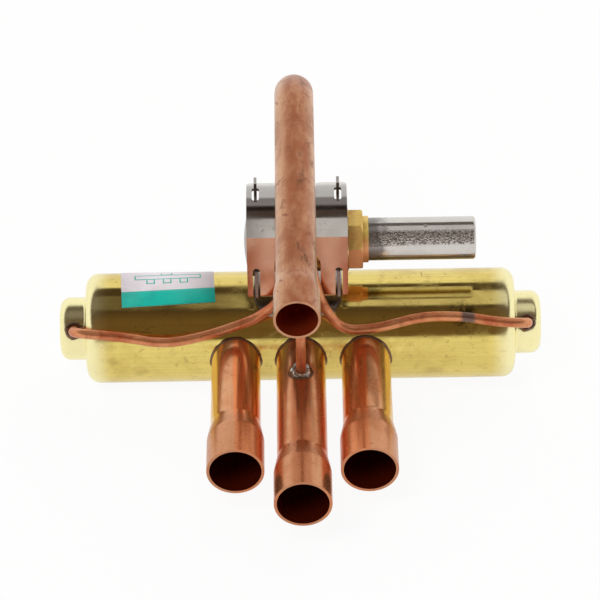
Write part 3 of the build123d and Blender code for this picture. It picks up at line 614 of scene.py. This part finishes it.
def collar_brass():
    """Cast looking brass of the collar, matt, with a painted red brown reflection of the copper on the
    side that faces down.
    """
    return metal(
        "collar_brass",
        clean=(0.82, 0.60, 0.16),
        worn=(0.72, 0.40, 0.11),
        dark=(0.40, 0.20, 0.07),
        roughness=0.38,
        stretch=(900, 900, 900),
        marks=0.2,
        patches=0.9,
        stains=0.4,
        scale=190.0,
        bump=0.25,
        purity=0.5,
        # Painted reflection of the copper tubes on the collar's lower side.
        overlays=((painted_reflection_below, 0.75, (0.76, 0.28, 0.15)),),
    )


def sockets_of_branches(tree, coords):
    """Mask of the wide sockets of the branches, by their distance from the tubes' axes."""
    place = split(tree, coords)
    across = across_tube(tree, place["X"], PORT_PITCH)
    squares = math(tree, "ADD", times(tree, across, across), times(tree, place["Z"], place["Z"]))
    return spread(tree, math(tree, "SQRT", squares), TUBE_R + 0.1 * MM, TUBE_R + 0.8 * MM)


def tube_ends(tree, coords):
    """Mask of the cut ends of the tubes."""
    return facing(tree, (0, -1, 0), 0.8, 0.95)


def branch_bores(tree, coords):
    """Mask of the inside of the branches."""
    return bore_of(tree, coords, 0.0, 0.0, PORT_PITCH)


def discharge_bore(tree, coords):
    """Mask of the inside of the discharge tube, which has no neighbour within its pitch."""
    return bore_of(tree, coords, DISCHARGE_X, DISCHARGE_Z, 200 * MM)


def across_branches(tree, coords):
    """Distance from the middle plane, in steps of the branches' spacing, a little wavy."""
    waves = mottle(tree, mapped(tree, coords, Scale=(60, 25, 60)), 1.0, 3.0)
    wavy = times(tree, math(tree, "SUBTRACT", waves, 0.5), 0.16)
    aside = math(tree, "ABSOLUTE", split(tree, coords)["X"])
    return math(tree, "ADD", math(tree, "DIVIDE", aside, PORT_PITCH), wavy)


def painted_neighbour_reflection(tree, coords):
    """Mask of the long red streaks on the sides where the branches face one another, a painted reflection
    of the neighbouring copper.
    """
    offset = across_branches(tree, coords)
    inner_sides = spread(tree, offset, 0.27, 0.33)
    return times(tree, inner_sides, spread(tree, offset, 0.99, 1.05, 1.0, 0.0))


def middle_painted_dark_streak(tree, coords):
    """Mask of the dark red streak along the top of the middle branch, a painted reflection of the dark
    ceiling.
    """
    return spread(tree, across_branches(tree, coords), 0.10, 0.19, 1.0, 0.0)


def painted_brass_reflection(tree, coords):
    """Mask of the outer sides of the outer branches, with a painted yellow reflection of the brass."""
    outer = spread(tree, across_branches(tree, coords), 1.2, 1.28)
    return times(tree, outer, spread(tree, split(tree, coords)["Y"], -58 * MM, -50 * MM))


def brass_flares(tree, coords):
    """Mask of the wedges of mirrored brass on the branches' sides, widest at the barrel."""
    place = split(tree, coords)
    across = across_tube(tree, place["X"], PORT_PITCH)
    aside = math(tree, "DIVIDE", math(tree, "ABSOLUTE", across), TUBE_R)
    away = math(tree, "SUBTRACT", times(tree, place["Y"], -1.0), BARREL_R)
    wedge = spread(tree, math(tree, "SUBTRACT", aside, times(tree, away, 16.0)), 0.42, 0.58)
    return times(tree, wedge, spread(tree, away, 26 * MM, 16 * MM))


def branch_copper():
    """Drawn copper of the branches, with red and yellow streaks of painted reflection from each other,
    the dark ceiling and the brass, and dark inside.
    """
    return metal(
        "branch_copper",
        clean=tint("copper"),
        worn=tint("copper_worn"),
        dark=(0.34, 0.08, 0.02),
        roughness=0.17,
        stretch=(900, 30, 900),
        marks=0.6,
        patches=0.8,
        stains=0.3,
        scale=60.0,
        purity=0.84,
        overlays=(
            # Painted reflection: the sides that face a neighbour are painted redder.
            (painted_neighbour_reflection, 0.8, (0.88, 0.24, 0.065)),
            # Painted reflection of the dark ceiling along the middle branch's top.
            (middle_painted_dark_streak, 0.85, (0.44, 0.12, 0.04)),
            (brass_flares, 0.75, (1.0, 0.60, 0.13)),
            # Painted reflection of the barrel's brass on the outer sides.
            (painted_brass_reflection, 0.75, (1.0, 0.66, 0.20)),
            (sockets_of_branches, 0.45, (0.54, 0.22, 0.10)),
            (tube_ends, 0.6, (0.50, 0.22, 0.12)),
            (branch_bores, 1.0, (0.32, 0.03, 0.005)),
        ),
        rough_where=sockets_of_branches,
        rougher=0.07,
    )


def smudges_and_painted_top_shade(tree, coords):
    """Mask of the browner, uneven top of the discharge tube: painted shade over the whole top, mottled by
    smudges.
    """
    upward = facing(tree, (0.15, 0, 1), 0.55, 0.95)
    blots = mottle(tree, mapped(tree, coords, Scale=(160, 60, 160)), 1.0, 5.0, Roughness=0.7)
    return times(tree, upward, spread(tree, blots, 0.35, 0.6, 0.5, 1.0))


def burnt_blots(tree, coords):
    """Mask of the dark smudges, long and broken, along the top of the discharge tube."""
    upward = facing(tree, (0.25, 0, 1), 0.7, 0.95)
    moved = mapped(tree, coords, Scale=(240, 75, 240), Location=(0.4, 0.2, 0.9))
    blots = mottle(tree, moved, 1.0, 7.0, Roughness=0.75)
    return times(tree, upward, spread(tree, blots, 0.54, 0.68))


def discharge_copper():
    """Duller, brushed copper of the discharge tube, with painted shade and smudges along its top."""
    return metal(
        "discharge_copper",
        clean=tint("copper_dull"),
        worn=(0.46, 0.20, 0.10),
        dark=(0.22, 0.08, 0.04),
        roughness=0.30,
        stretch=(900, 40, 900),
        marks=1.2,
        patches=0.9,
        stains=0.7,
        scale=65.0,
        bump=0.12,
        purity=0.8,
        overlays=(
            # Painted shade across the top, with smudges in it.
            (smudges_and_painted_top_shade, 1.0, (0.36, 0.115, 0.045)),
            (burnt_blots, 0.85, (0.13, 0.05, 0.022)),
            (tube_ends, 0.5, (0.50, 0.22, 0.12)),
            (discharge_bore, 1.0, (0.60, 0.08, 0.02)),
        ),
    )


def joint_band(tree, coords):
    """Mask of the short grey band where the right capillary is joined."""
    ragged = times(tree, mottle(tree, coords, 900.0, 2.0), 1 * MM)
    along = math(tree, "ADD", split(tree, coords)["X"], ragged)
    away = math(tree, "ABSOLUTE", math(tree, "SUBTRACT", along, JOINT_X))
    return spread(tree, away, 1.2 * MM, 3 * MM, 1.0, 0.0)


def capillary_copper():
    """Annealed copper of the thin capillaries, with a grey band at the right one's joint."""
    return metal(
        "capillary_copper",
        clean=(0.76, 0.31, 0.14),
        worn=(0.56, 0.13, 0.045),
        dark=(0.30, 0.10, 0.05),
        roughness=0.30,
        stretch=(60, 500, 500),
        marks=0.3,
        patches=1.0,
        stains=0.5,
        scale=110.0,
        purity=0.72,
        overlays=((joint_band, 0.9, (0.15, 0.11, 0.10)),),
    )


def front_painted_copper(tree, coords):
    """Mask of the cover's front, which carries a painted reflection of the copper tubes."""
    return facing(tree, (0, -1, 0), 0.85, 0.98)


def plate_painted_red_reflection(tree, coords):
    """Mask of the redder patch on the cover's front, beside the discharge tube, a painted reflection of
    its copper.
    """
    place = split(tree, coords)
    ragged = times(tree, mottle(tree, coords, 150.0, 3.0), 6 * MM)
    aside = math(tree, "ABSOLUTE", math(tree, "SUBTRACT", place["X"], DISCHARGE_X))
    beside = spread(tree, math(tree, "ADD", aside, ragged), 12 * MM, 17 * MM, 1.0, 0.0)
    below = spread(tree, place["Z"], PILOT_Z + 1 * MM, PILOT_Z - 5 * MM)
    return times(tree, times(tree, beside, below), front_painted_copper(tree, coords))


def shaded_top(tree, coords):
    """Mask of the greyer band of painted shade across the cover's top, where it mirrors the dark ceiling.
    """
    return facing(tree, (0, 0.14, 0.99), 0.97, 0.99)


def ridge_painted_shade(tree, coords):
    """Mask of the thin line of painted shade across the highest part of the cover, where it mirrors the
    dark ceiling.
    """
    return facing(tree, (0, -0.05, 1), 0.993, 0.998)


def bright_stainless():
    """Mirror bright stainless of the folded cover, with a painted copper reflection in front and painted
    shade across the top.
    """
    return metal(
        "bright_stainless",
        clean=tint("stainless"),
        worn=(0.58, 0.54, 0.50),
        dark=(0.22, 0.19, 0.17),
        roughness=0.08,
        stretch=(40, 900, 900),
        marks=0.25,
        patches=0.4,
        scale=60.0,
        bump=0.02,
        overlays=(
            # Painted shade across the cover's top.
            (shaded_top, 0.75, (0.34, 0.32, 0.31)),
            # Painted shade along the cover's crest.
            (ridge_painted_shade, 0.85, (0.13, 0.11, 0.10)),
            # Painted reflection of the copper tubes on the cover's front.
            (front_painted_copper, 0.9, (0.90, 0.57, 0.38)),
            # Painted reflection of the discharge tube's copper, redder beside it.
            (plate_painted_red_reflection, 0.7, (0.60, 0.24, 0.12)),
        ),
        rough_where=front_painted_copper,
        rougher=0.12,
    )


def pressed_stainless():
    """Duller stainless of pressed and turned inner pieces."""
    return metal(
        "pressed_stainless",
        clean=(0.42, 0.39, 0.36),
        worn=(0.30, 0.27, 0.24),
        dark=(0.12, 0.10, 0.09),
        roughness=0.26,
        stretch=(300, 300, 900),
        marks=0.4,
        patches=0.6,
        scale=90.0,
    )


def sandy_band(tree, coords):
    """Mask of the rough band along the front of the enclosing tube."""
    return facing(tree, (0, -0.777, 0.629), 0.925, 0.96)


def sandy_specks(tree, coords):
    """Mask of the dark specks in the rough band."""
    return times(tree, sandy_band(tree, coords), spread(tree, sand(tree, coords), 0.5, 0.54))


def sleeve_root(tree, coords):
    """Mask of the smoky, ragged start of the enclosing tube beside the collar."""
    smoke = times(tree, mottle(tree, coords, 260.0, 4.0), 12 * MM)
    along = math(tree, "ADD", split(tree, coords)["X"], smoke)
    root_x = high("pilot_collar", 0)
    return spread(tree, along, root_x + 8 * MM, root_x + 13 * MM, 1.0, 0.0)


def drawn_steel():
    """Drawn steel of the enclosing tube, bright, with one sandy band along it."""
    return metal(
        "drawn_steel",
        clean=(0.66, 0.63, 0.59),
        worn=(0.56, 0.52, 0.48),
        dark=(0.18, 0.16, 0.14),
        roughness=0.07,
        stretch=(30, 1500, 1500),
        marks=0.4,
        patches=0.3,
        scale=150.0,
        bump=1.0,
        grain=2.2,
        grain_of=sandy_band,
        line_depth=0.03,
        purity=0.9,
        overlays=(
            (sandy_specks, 0.62, (0.07, 0.06, 0.055)),
            (sleeve_root, 0.75, (0.15, 0.13, 0.12)),
        ),
        rough_where=sleeve_root,
    )


def silver_braze():
    """Dark grey brown braze with an uneven skin."""
    return metal(
        "silver_braze",
        clean=(0.22, 0.16, 0.12),
        worn=(0.24, 0.12, 0.07),
        dark=(0.06, 0.04, 0.03),
        roughness=0.34,
        stretch=(300, 300, 300),
        marks=0.2,
        patches=1.0,
        stains=0.8,
        scale=260.0,
        bump=0.5,
    )


def bright_braze():
    """Silvery braze of the suction capillary's collar."""
    return metal(
        "bright_braze",
        clean=(0.62, 0.58, 0.54),
        worn=(0.40, 0.33, 0.28),
        dark=(0.12, 0.09, 0.07),
        roughness=0.24,
        stretch=(300, 300, 300),
        marks=0.0,
        patches=0.8,
        stains=0.5,
        scale=320.0,
        bump=0.4,
    )


def slide_nylon():
    """Pale moulded nylon of the slides."""
    return polymer("slide_nylon", (0.80, 0.78, 0.70), (0.66, 0.62, 0.54), 0.45)


def seal_ptfe():
    """White PTFE of the cup seals."""
    return polymer("seal_ptfe", (0.88, 0.87, 0.84), (0.78, 0.76, 0.72), 0.5)


def label_film():
    """Pale paper film of the label."""
    return polymer("label_film", tint("label_ground"), (0.62, 0.56, 0.58), 0.4)


def label_ink():
    """Green ink printed on the label."""
    return polymer("label_ink", tint("label_band"), (0.01, 0.30, 0.25), 0.4)


class ValveColours(bpy.types.PropertyGroup):
    """Main colours of the valve's finishes."""

    brass: bpy.props.FloatVectorProperty(
        name="Brass",
        description="Clean polished brass",
        default=(0.82, 0.65, 0.19),
        subtype="COLOR",
        size=3,
    )
    brass_worn: bpy.props.FloatVectorProperty(
        name="Worn brass",
        description="Brass in its duller patches",
        default=(0.68, 0.51, 0.135),
        subtype="COLOR",
        size=3,
    )
    copper: bpy.props.FloatVectorProperty(
        name="Copper",
        description="Clean drawn copper",
        default=(0.74, 0.37, 0.19),
        subtype="COLOR",
        size=3,
    )
    copper_worn: bpy.props.FloatVectorProperty(
        name="Worn copper",
        description="Redder patches of copper",
        default=(0.66, 0.24, 0.09),
        subtype="COLOR",
        size=3,
    )
    copper_dull: bpy.props.FloatVectorProperty(
        name="Brushed copper",
        description="The duller discharge tube",
        default=(0.68, 0.38, 0.21),
        subtype="COLOR",
        size=3,
    )
    stainless: bpy.props.FloatVectorProperty(
        name="Stainless",
        description="The bright cover",
        default=(0.70, 0.67, 0.62),
        subtype="COLOR",
        size=3,
    )
    label_ground: bpy.props.FloatVectorProperty(
        name="Label ground",
        description="The pale film",
        default=(0.78, 0.72, 0.76),
        subtype="COLOR",
        size=3,
    )
    label_band: bpy.props.FloatVectorProperty(
        name="Label band",
        description="The printed band",
        default=(0.006, 0.50, 0.40),
        subtype="COLOR",
        size=3,
    )


class ValveCamera(bpy.types.PropertyGroup):
    """Where the picture is taken from."""

    elevation: bpy.props.FloatProperty(
        name="Elevation",
        description="Height of the view above level",
        default=radians(39.0),
        subtype="ANGLE",
    )
    roll: bpy.props.FloatProperty(
        name="Roll",
        description="Turn of the picture",
        default=radians(0.9),
        subtype="ANGLE",
    )
    distance: bpy.props.FloatProperty(
        name="Distance",
        description="From the barrel to the lens",
        default=1.147,
        subtype="DISTANCE",
    )
    lens: bpy.props.FloatProperty(
        name="Lens",
        description="Focal length in mm",
        default=210.0,
        unit="CAMERA",
    )
    rise: bpy.props.FloatProperty(
        name="Rise",
        description="How far the picture's centre lies above the barrel",
        default=0.0082,
        subtype="DISTANCE",
    )


MATERIALS = {}


def finish(maker):
    """The material that a finish function makes, made once."""
    if maker.__name__ not in MATERIALS:
        MATERIALS[maker.__name__] = maker()
    return MATERIALS[maker.__name__]


def coat(nodes, maker):
    """Give CAD nodes a finish, in every material slot."""
    for name in nodes:
        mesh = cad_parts[name].data
        mesh.materials.clear()
        mesh.materials.append(finish(maker))


# Operators, one for each piece or group of like pieces


class VALVE_OT_barrel(bpy.types.Operator):
    """Polish the barrel and its end caps"""

    bl_idname = "valve.barrel"
    bl_label = "Barrel and Caps"

    def execute(self, context):
        coat(("valve_barrel", "end_cap_left", "end_cap_right"), barrel_brass)
        return {"FINISHED"}


class VALVE_OT_branches(bpy.types.Operator):
    """Finish the three branch tubes and the discharge tube"""

    bl_idname = "valve.branches"
    bl_label = "Copper Tubes"

    def execute(self, context):
        coat(("evaporator_tube", "suction_tube", "condenser_tube"), branch_copper)
        coat(("discharge_tube",), discharge_copper)
        return {"FINISHED"}


class VALVE_OT_pilot(bpy.types.Operator):
    """Finish the pilot valve's body, collar, sleeve and core"""

    bl_idname = "valve.pilot"
    bl_label = "Pilot Valve"

    def execute(self, context):
        coat(("pilot_body", "pilot_seat"), turned_brass)
        coat(("pilot_collar",), collar_brass)
        coat(("pilot_end_plug", "plunger", "pilot_carrier", "pilot_leaf_spring"), pressed_stainless)
        coat(("enclosing_tube", "fixed_core"), drawn_steel)
        coat(("shading_ring",), branch_copper)
        coat(("pilot_slide",), slide_nylon)
        self.return_spring()
        return {"FINISHED"}

    def return_spring(self):
        """The plunger's return spring, coiled along X between the ends of the CAD spring."""
        left, right = low("plunger_spring", 0), high("plunger_spring", 0)
        coil_r = half("plunger_spring", 1) - SPRING_WIRE_R
        bm = coil_about_x(left, right, coil_r, SPRING_WIRE_R, PILOT_Z, SPRING_TURNS)
        spring = finish_piece(
            bm, "return_spring", VALVE, ["plunger_spring"], finish(pressed_stainless)
        )
        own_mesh(spring)


class VALVE_OT_bracket(bpy.types.Operator):
    """Finish the bracket and its cover"""

    bl_idname = "valve.bracket"
    bl_label = "Bracket and Cover"

    def execute(self, context):
        coat(("bracket_cover",), bright_stainless)
        coat(("saddle_bracket",), pressed_stainless)
        return {"FINISHED"}


class VALVE_OT_capillaries(bpy.types.Operator):
    """Finish the capillaries"""

    bl_idname = "valve.capillaries"
    bl_label = "Capillaries"

    def execute(self, context):
        ends = ("left", "right", "suction", "discharge")
        coat(["capillary_" + end for end in ends], capillary_copper)
        return {"FINISHED"}


class VALVE_OT_brazes(bpy.types.Operator):
    """Lay a lumpy bead of braze round every tube and capillary"""

    bl_idname = "valve.brazes"
    bl_label = "Brazed Joints"

    def execute(self, context):
        self.tube_beads()
        self.capillary_beads()
        return {"FINISHED"}

    def tube_beads(self):
        """Beads where the four big tubes enter the barrel."""
        to_front = Matrix.Rotation(pi / 2, 4, "X")
        to_back = Matrix.Rotation(-pi / 2, 4, "X")
        on_barrel = saddle(BARREL_R, 1)
        beads = []
        for x in (-PORT_PITCH, 0.0, PORT_PITCH):
            ring = lumpy_ring(TUBE_R, *BRANCH_BEAD, on_barrel, TUBE_BEAD_STEPS)
            beads.append((ring, Matrix.Translation((x, -BARREL_R, 0)) @ to_front))
        ring = lumpy_ring(DISCHARGE_R, *DISCHARGE_BEAD, on_barrel, TUBE_BEAD_STEPS)
        beads.append((ring, Matrix.Translation((DISCHARGE_X, BARREL_R, 0)) @ to_back))
        finish_piece(merged(beads), "tube_beads", VALVE, ["port_brazes"], finish(silver_braze))

    def capillary_beads(self):
        """Beads where the capillaries enter the caps and the two big tubes."""
        beads = []
        for side, lean in CAP_ENTRY_LEANS.items():
            entry_x = CAP_ENTRY_X if side == "right" else -CAP_ENTRY_X
            outward = Vector((0, -cos(radians(lean)), sin(radians(lean))))
            foot = Vector((entry_x, 0, 0)) + outward * BOSS_R
            turn = outward.to_track_quat("Z", "X").to_matrix().to_4x4()
            ring = lumpy_ring(CAPILLARY_R, *CAP_BEAD, lambda place: -BOSS_SINK)
            beads.append((ring, Matrix.Translation(foot) @ turn))

        on_suction = saddle(TUBE_R, 0)
        at_suction = Matrix.Translation((0, low("capillary_suction", 1) + CAPILLARY_R, TUBE_R))
        collar = lumpy_ring(CAPILLARY_R, *SUCTION_COLLAR, on_suction)
        skirt = lumpy_ring(CAPILLARY_R, *SUCTION_SKIRT, on_suction)
        beads.append((skirt, at_suction))
        collar = merged([(collar, at_suction)])
        finish_piece(
            collar, "suction_collar", VALVE, ["capillary_brazes"], finish(bright_braze)
        )

        under_bend = Matrix.Translation((DISCHARGE_X, DISCHARGE_ENTRY_Y, DISCHARGE_Z - DISCHARGE_R))
        ring = lumpy_ring(CAPILLARY_R, *DISCHARGE_ENTRY_BEAD, lambda place: 0.0)
        beads.append((ring, under_bend))
        beads = merged(beads)
        finish_piece(
            beads, "capillary_beads", VALVE, ["capillary_brazes"], finish(silver_braze)
        )


class VALVE_OT_inner(bpy.types.Operator):
    """Finish the slide, its carrier, the pistons and their seals"""

    bl_idname = "valve.inner"
    bl_label = "Inner Pieces"

    def execute(self, context):
        coat(("valve_seat", "piston_left", "piston_right"), turned_brass)
        coat(("slide_valve",), slide_nylon)
        coat(("piston_seal_left", "piston_seal_right"), seal_ptfe)
        plates = ("slide_carrier", "seal_plate_left", "seal_plate_right")
        coat((*plates, "slide_spring", "piston_screws"), pressed_stainless)
        return {"FINISHED"}


class VALVE_OT_label(bpy.types.Operator):
    """Lay the label on the barrel, with a printed band and a plain drawing of the ports"""

    bl_idname = "valve.label"
    bl_label = "Label"

    def execute(self, context):
        ground = self.patch([LABEL_SHEET], LABEL_LIFT)
        finish_piece(ground, "label_ground", VALVE, ["port_label"], finish(label_film))
        print_marks = LABEL_PRINT[:]
        for x in PORT_MARKS_X:
            print_marks += [(x + left, x + right, foot, head) for left, right, foot, head in PORT_MARK]
        marks = self.patch(print_marks, PRINT_LIFT)
        finish_piece(marks, "label_print", VALVE, ["port_label"], finish(label_ink))
        return {"FINISHED"}

    def patch(self, rectangles, lift):
        """Thin patches on the barrel, from rectangles on the label's own sheet."""
        bm = bmesh.new()
        for left, right, foot, head in rectangles:
            size = Vector((right - left, head - foot, 0)) * MM
            centre = Vector((left + right, foot + head, 0)) / 2 * MM
            steps = max(2, round((head - foot) * LABEL_ROWS_PER_MM))
            made = bmesh.ops.create_grid(bm, x_segments=2, y_segments=steps, size=0.5)
            bmesh.ops.scale(bm, vec=(size.x, size.y, 1), verts=made["verts"])
            bmesh.ops.translate(bm, vec=centre, verts=made["verts"])
        bmesh.ops.rotate(bm, cent=(0, 0, 0), matrix=Matrix.Rotation(LABEL_TILT, 3, "Z"), verts=bm.verts)
        bmesh.ops.solidify(bm, geom=bm.faces[:], thickness=PRINT_THICKNESS)
        sheet_x = low("port_label", 0) + LABEL_MARGIN
        for vert in bm.verts:
            radius = BARREL_R + lift + vert.co.z
            angle = LABEL_FOOT_ANGLE + vert.co.y / BARREL_R
            vert.co = (sheet_x + vert.co.x, -radius * cos(angle), radius * sin(angle))
        bmesh.ops.recalc_face_normals(bm, faces=bm.faces)
        return bm


# Stage, light and camera


def floor_material():
    """White floor that keeps soft shadows and shows pale in metal."""
    material = bpy.data.materials.new("studio_floor")
    material.use_nodes = True
    tree = material.node_tree
    tree.nodes.clear()
    paper = node(tree, "ShaderNodeBsdfDiffuse", Color=(0.9, 0.9, 0.9, 1))
    glow = node(tree, "ShaderNodeEmission", Color=(1, 1, 1, 1), Strength=1.0)
    path = tree.nodes.new("ShaderNodeLightPath")
    mirrored = math(tree, "MAXIMUM", path.outputs["Is Glossy Ray"], path.outputs["Is Transmission Ray"])
    shown = times(tree, mirrored, FLOOR_WHITE_IN_MIRRORS)
    seen = times(tree, path.outputs["Is Camera Ray"], FLOOR_WHITE_IN_VIEW)
    share = math(tree, "MAXIMUM", shown, seen)
    mixed = node(tree, "ShaderNodeMixShader", i0=share, i1=paper.outputs[0], i2=glow.outputs[0])
    output = tree.nodes.new("ShaderNodeOutputMaterial")
    tree.links.new(mixed.outputs[0], output.inputs["Surface"])
    return material


def studio_world():
    """White all round under a warm dark ceiling, with white for what the camera sees."""
    world = bpy.data.worlds.new("studio")
    bpy.context.scene.world = world
    world.use_nodes = True
    tree = world.node_tree
    tree.nodes.clear()
    path = tree.nodes.new("ShaderNodeLightPath")
    coords = tree.nodes.new("ShaderNodeTexCoord").outputs["Generated"]
    overhead = (0.0, -cos(CEILING_ELEVATION), sin(CEILING_ELEVATION))
    ceiling = spread(tree, dot(tree, coords, overhead), 0.45, 0.52)
    front = spread(tree, dot(tree, coords, (0, -1, 0)), 0.2, 0.7)
    dark = blend_colour(tree, front, CEILING_TONE, CEILING_FRONT_TONE)
    room = blend_colour(tree, ceiling, (1, 1, 1, 1), dark)
    seen = blend_colour(tree, path.outputs["Is Camera Ray"], room, (1, 1, 1, 1))
    glow = node(tree, "ShaderNodeBackground", Color=seen, Strength=1.0)
    output = tree.nodes.new("ShaderNodeOutputWorld")
    tree.links.new(glow.outputs[0], output.inputs["Surface"])


def area_light(name, location, target, size, power, mirrored):
    """Soft rectangular lamp, which metal mirrors only where it is asked to."""
    lamp = bpy.data.lights.new(name, "AREA")
    lamp.shape = "RECTANGLE"
    lamp.size, lamp.size_y = size
    lamp.energy = power
    holder = bpy.data.objects.new(name, lamp)
    bpy.context.scene.collection.objects.link(holder)
    holder.location = location
    holder.rotation_euler = (Vector(target) - Vector(location)).to_track_quat("-Z", "Y").to_euler()
    holder.visible_glossy = mirrored


class VALVE_OT_studio(bpy.types.Operator):
    """Make the floor, the light and the camera"""

    bl_idname = "valve.studio"
    bl_label = "Studio"

    def execute(self, context):
        floor_z = cad_box[0].z - FLOOR_GAP
        bm = bmesh.new()
        bmesh.ops.create_grid(bm, x_segments=1, y_segments=1, size=FLOOR_HALF_SIZE)
        bmesh.ops.translate(bm, vec=(0, 0, floor_z), verts=bm.verts)
        mesh = bpy.data.meshes.new("studio_floor")
        bm.to_mesh(mesh)
        bm.free()
        mesh.materials.append(floor_material())
        floor = bpy.data.objects.new("studio_floor", mesh)
        context.scene.collection.objects.link(floor)
        studio_world()
        for lamp in LAMPS:
            area_light(*lamp)
        self.make_camera(context)
        context.scene.view_settings.view_transform = "Standard"
        return {"FINISHED"}

    def make_camera(self, context):
        """Camera that looks at the barrel from the front and above."""
        view = context.scene.valve_camera
        lens = bpy.data.cameras.new("camera")
        lens.lens = view.lens
        lens.sensor_width = 36.0
        lens.clip_start = 0.05
        lens.clip_end = 50.0
        camera = bpy.data.objects.new("camera", lens)
        context.scene.collection.objects.link(camera)
        back = Vector((0, -cos(view.elevation), sin(view.elevation)))
        upward = Vector((0, sin(view.elevation), cos(view.elevation)))
        camera.location = back * view.distance + upward * view.rise
        turn = (-back).to_track_quat("-Z", "Y").to_matrix()
        camera.rotation_euler = (turn @ Matrix.Rotation(-view.roll, 3, "Z")).to_euler()
        context.scene.camera = camera


class VALVE_PT_panel(bpy.types.Panel):
    """Buttons for every group of pieces"""

    bl_label = "Reversing Valve"
    bl_idname = "VALVE_PT_panel"
    bl_space_type = "VIEW_3D"
    bl_region_type = "UI"
    bl_category = "Valve"

    def draw(self, context):
        for operator in OPERATORS:
            self.layout.operator(operator.bl_idname)


OPERATORS = (
    VALVE_OT_studio,
    VALVE_OT_barrel,
    VALVE_OT_branches,
    VALVE_OT_pilot,
    VALVE_OT_bracket,
    VALVE_OT_capillaries,
    VALVE_OT_brazes,
    VALVE_OT_inner,
    VALVE_OT_label,
)
CLASSES = (ValveColours, ValveCamera, *OPERATORS, VALVE_PT_panel)


def register():
    """Register the classes and hang their settings on the scene."""
    for cls in CLASSES:
        bpy.utils.register_class(cls)
    bpy.types.Scene.valve_colours = bpy.props.PointerProperty(type=ValveColours)
    bpy.types.Scene.valve_camera = bpy.props.PointerProperty(type=ValveCamera)


def unregister():
    """Take back what register did."""
    del bpy.types.Scene.valve_camera
    del bpy.types.Scene.valve_colours
    for cls in reversed(CLASSES):
        bpy.utils.unregister_class(cls)


def main():
    """Make the whole model."""
    register()
    bpy.ops.valve.studio()
    bpy.ops.valve.barrel()
    bpy.ops.valve.branches()
    bpy.ops.valve.pilot()
    bpy.ops.valve.bracket()
    bpy.ops.valve.capillaries()
    bpy.ops.valve.brazes()
    bpy.ops.valve.inner()
    bpy.ops.valve.label()


if __name__ == "__main__":
    main()
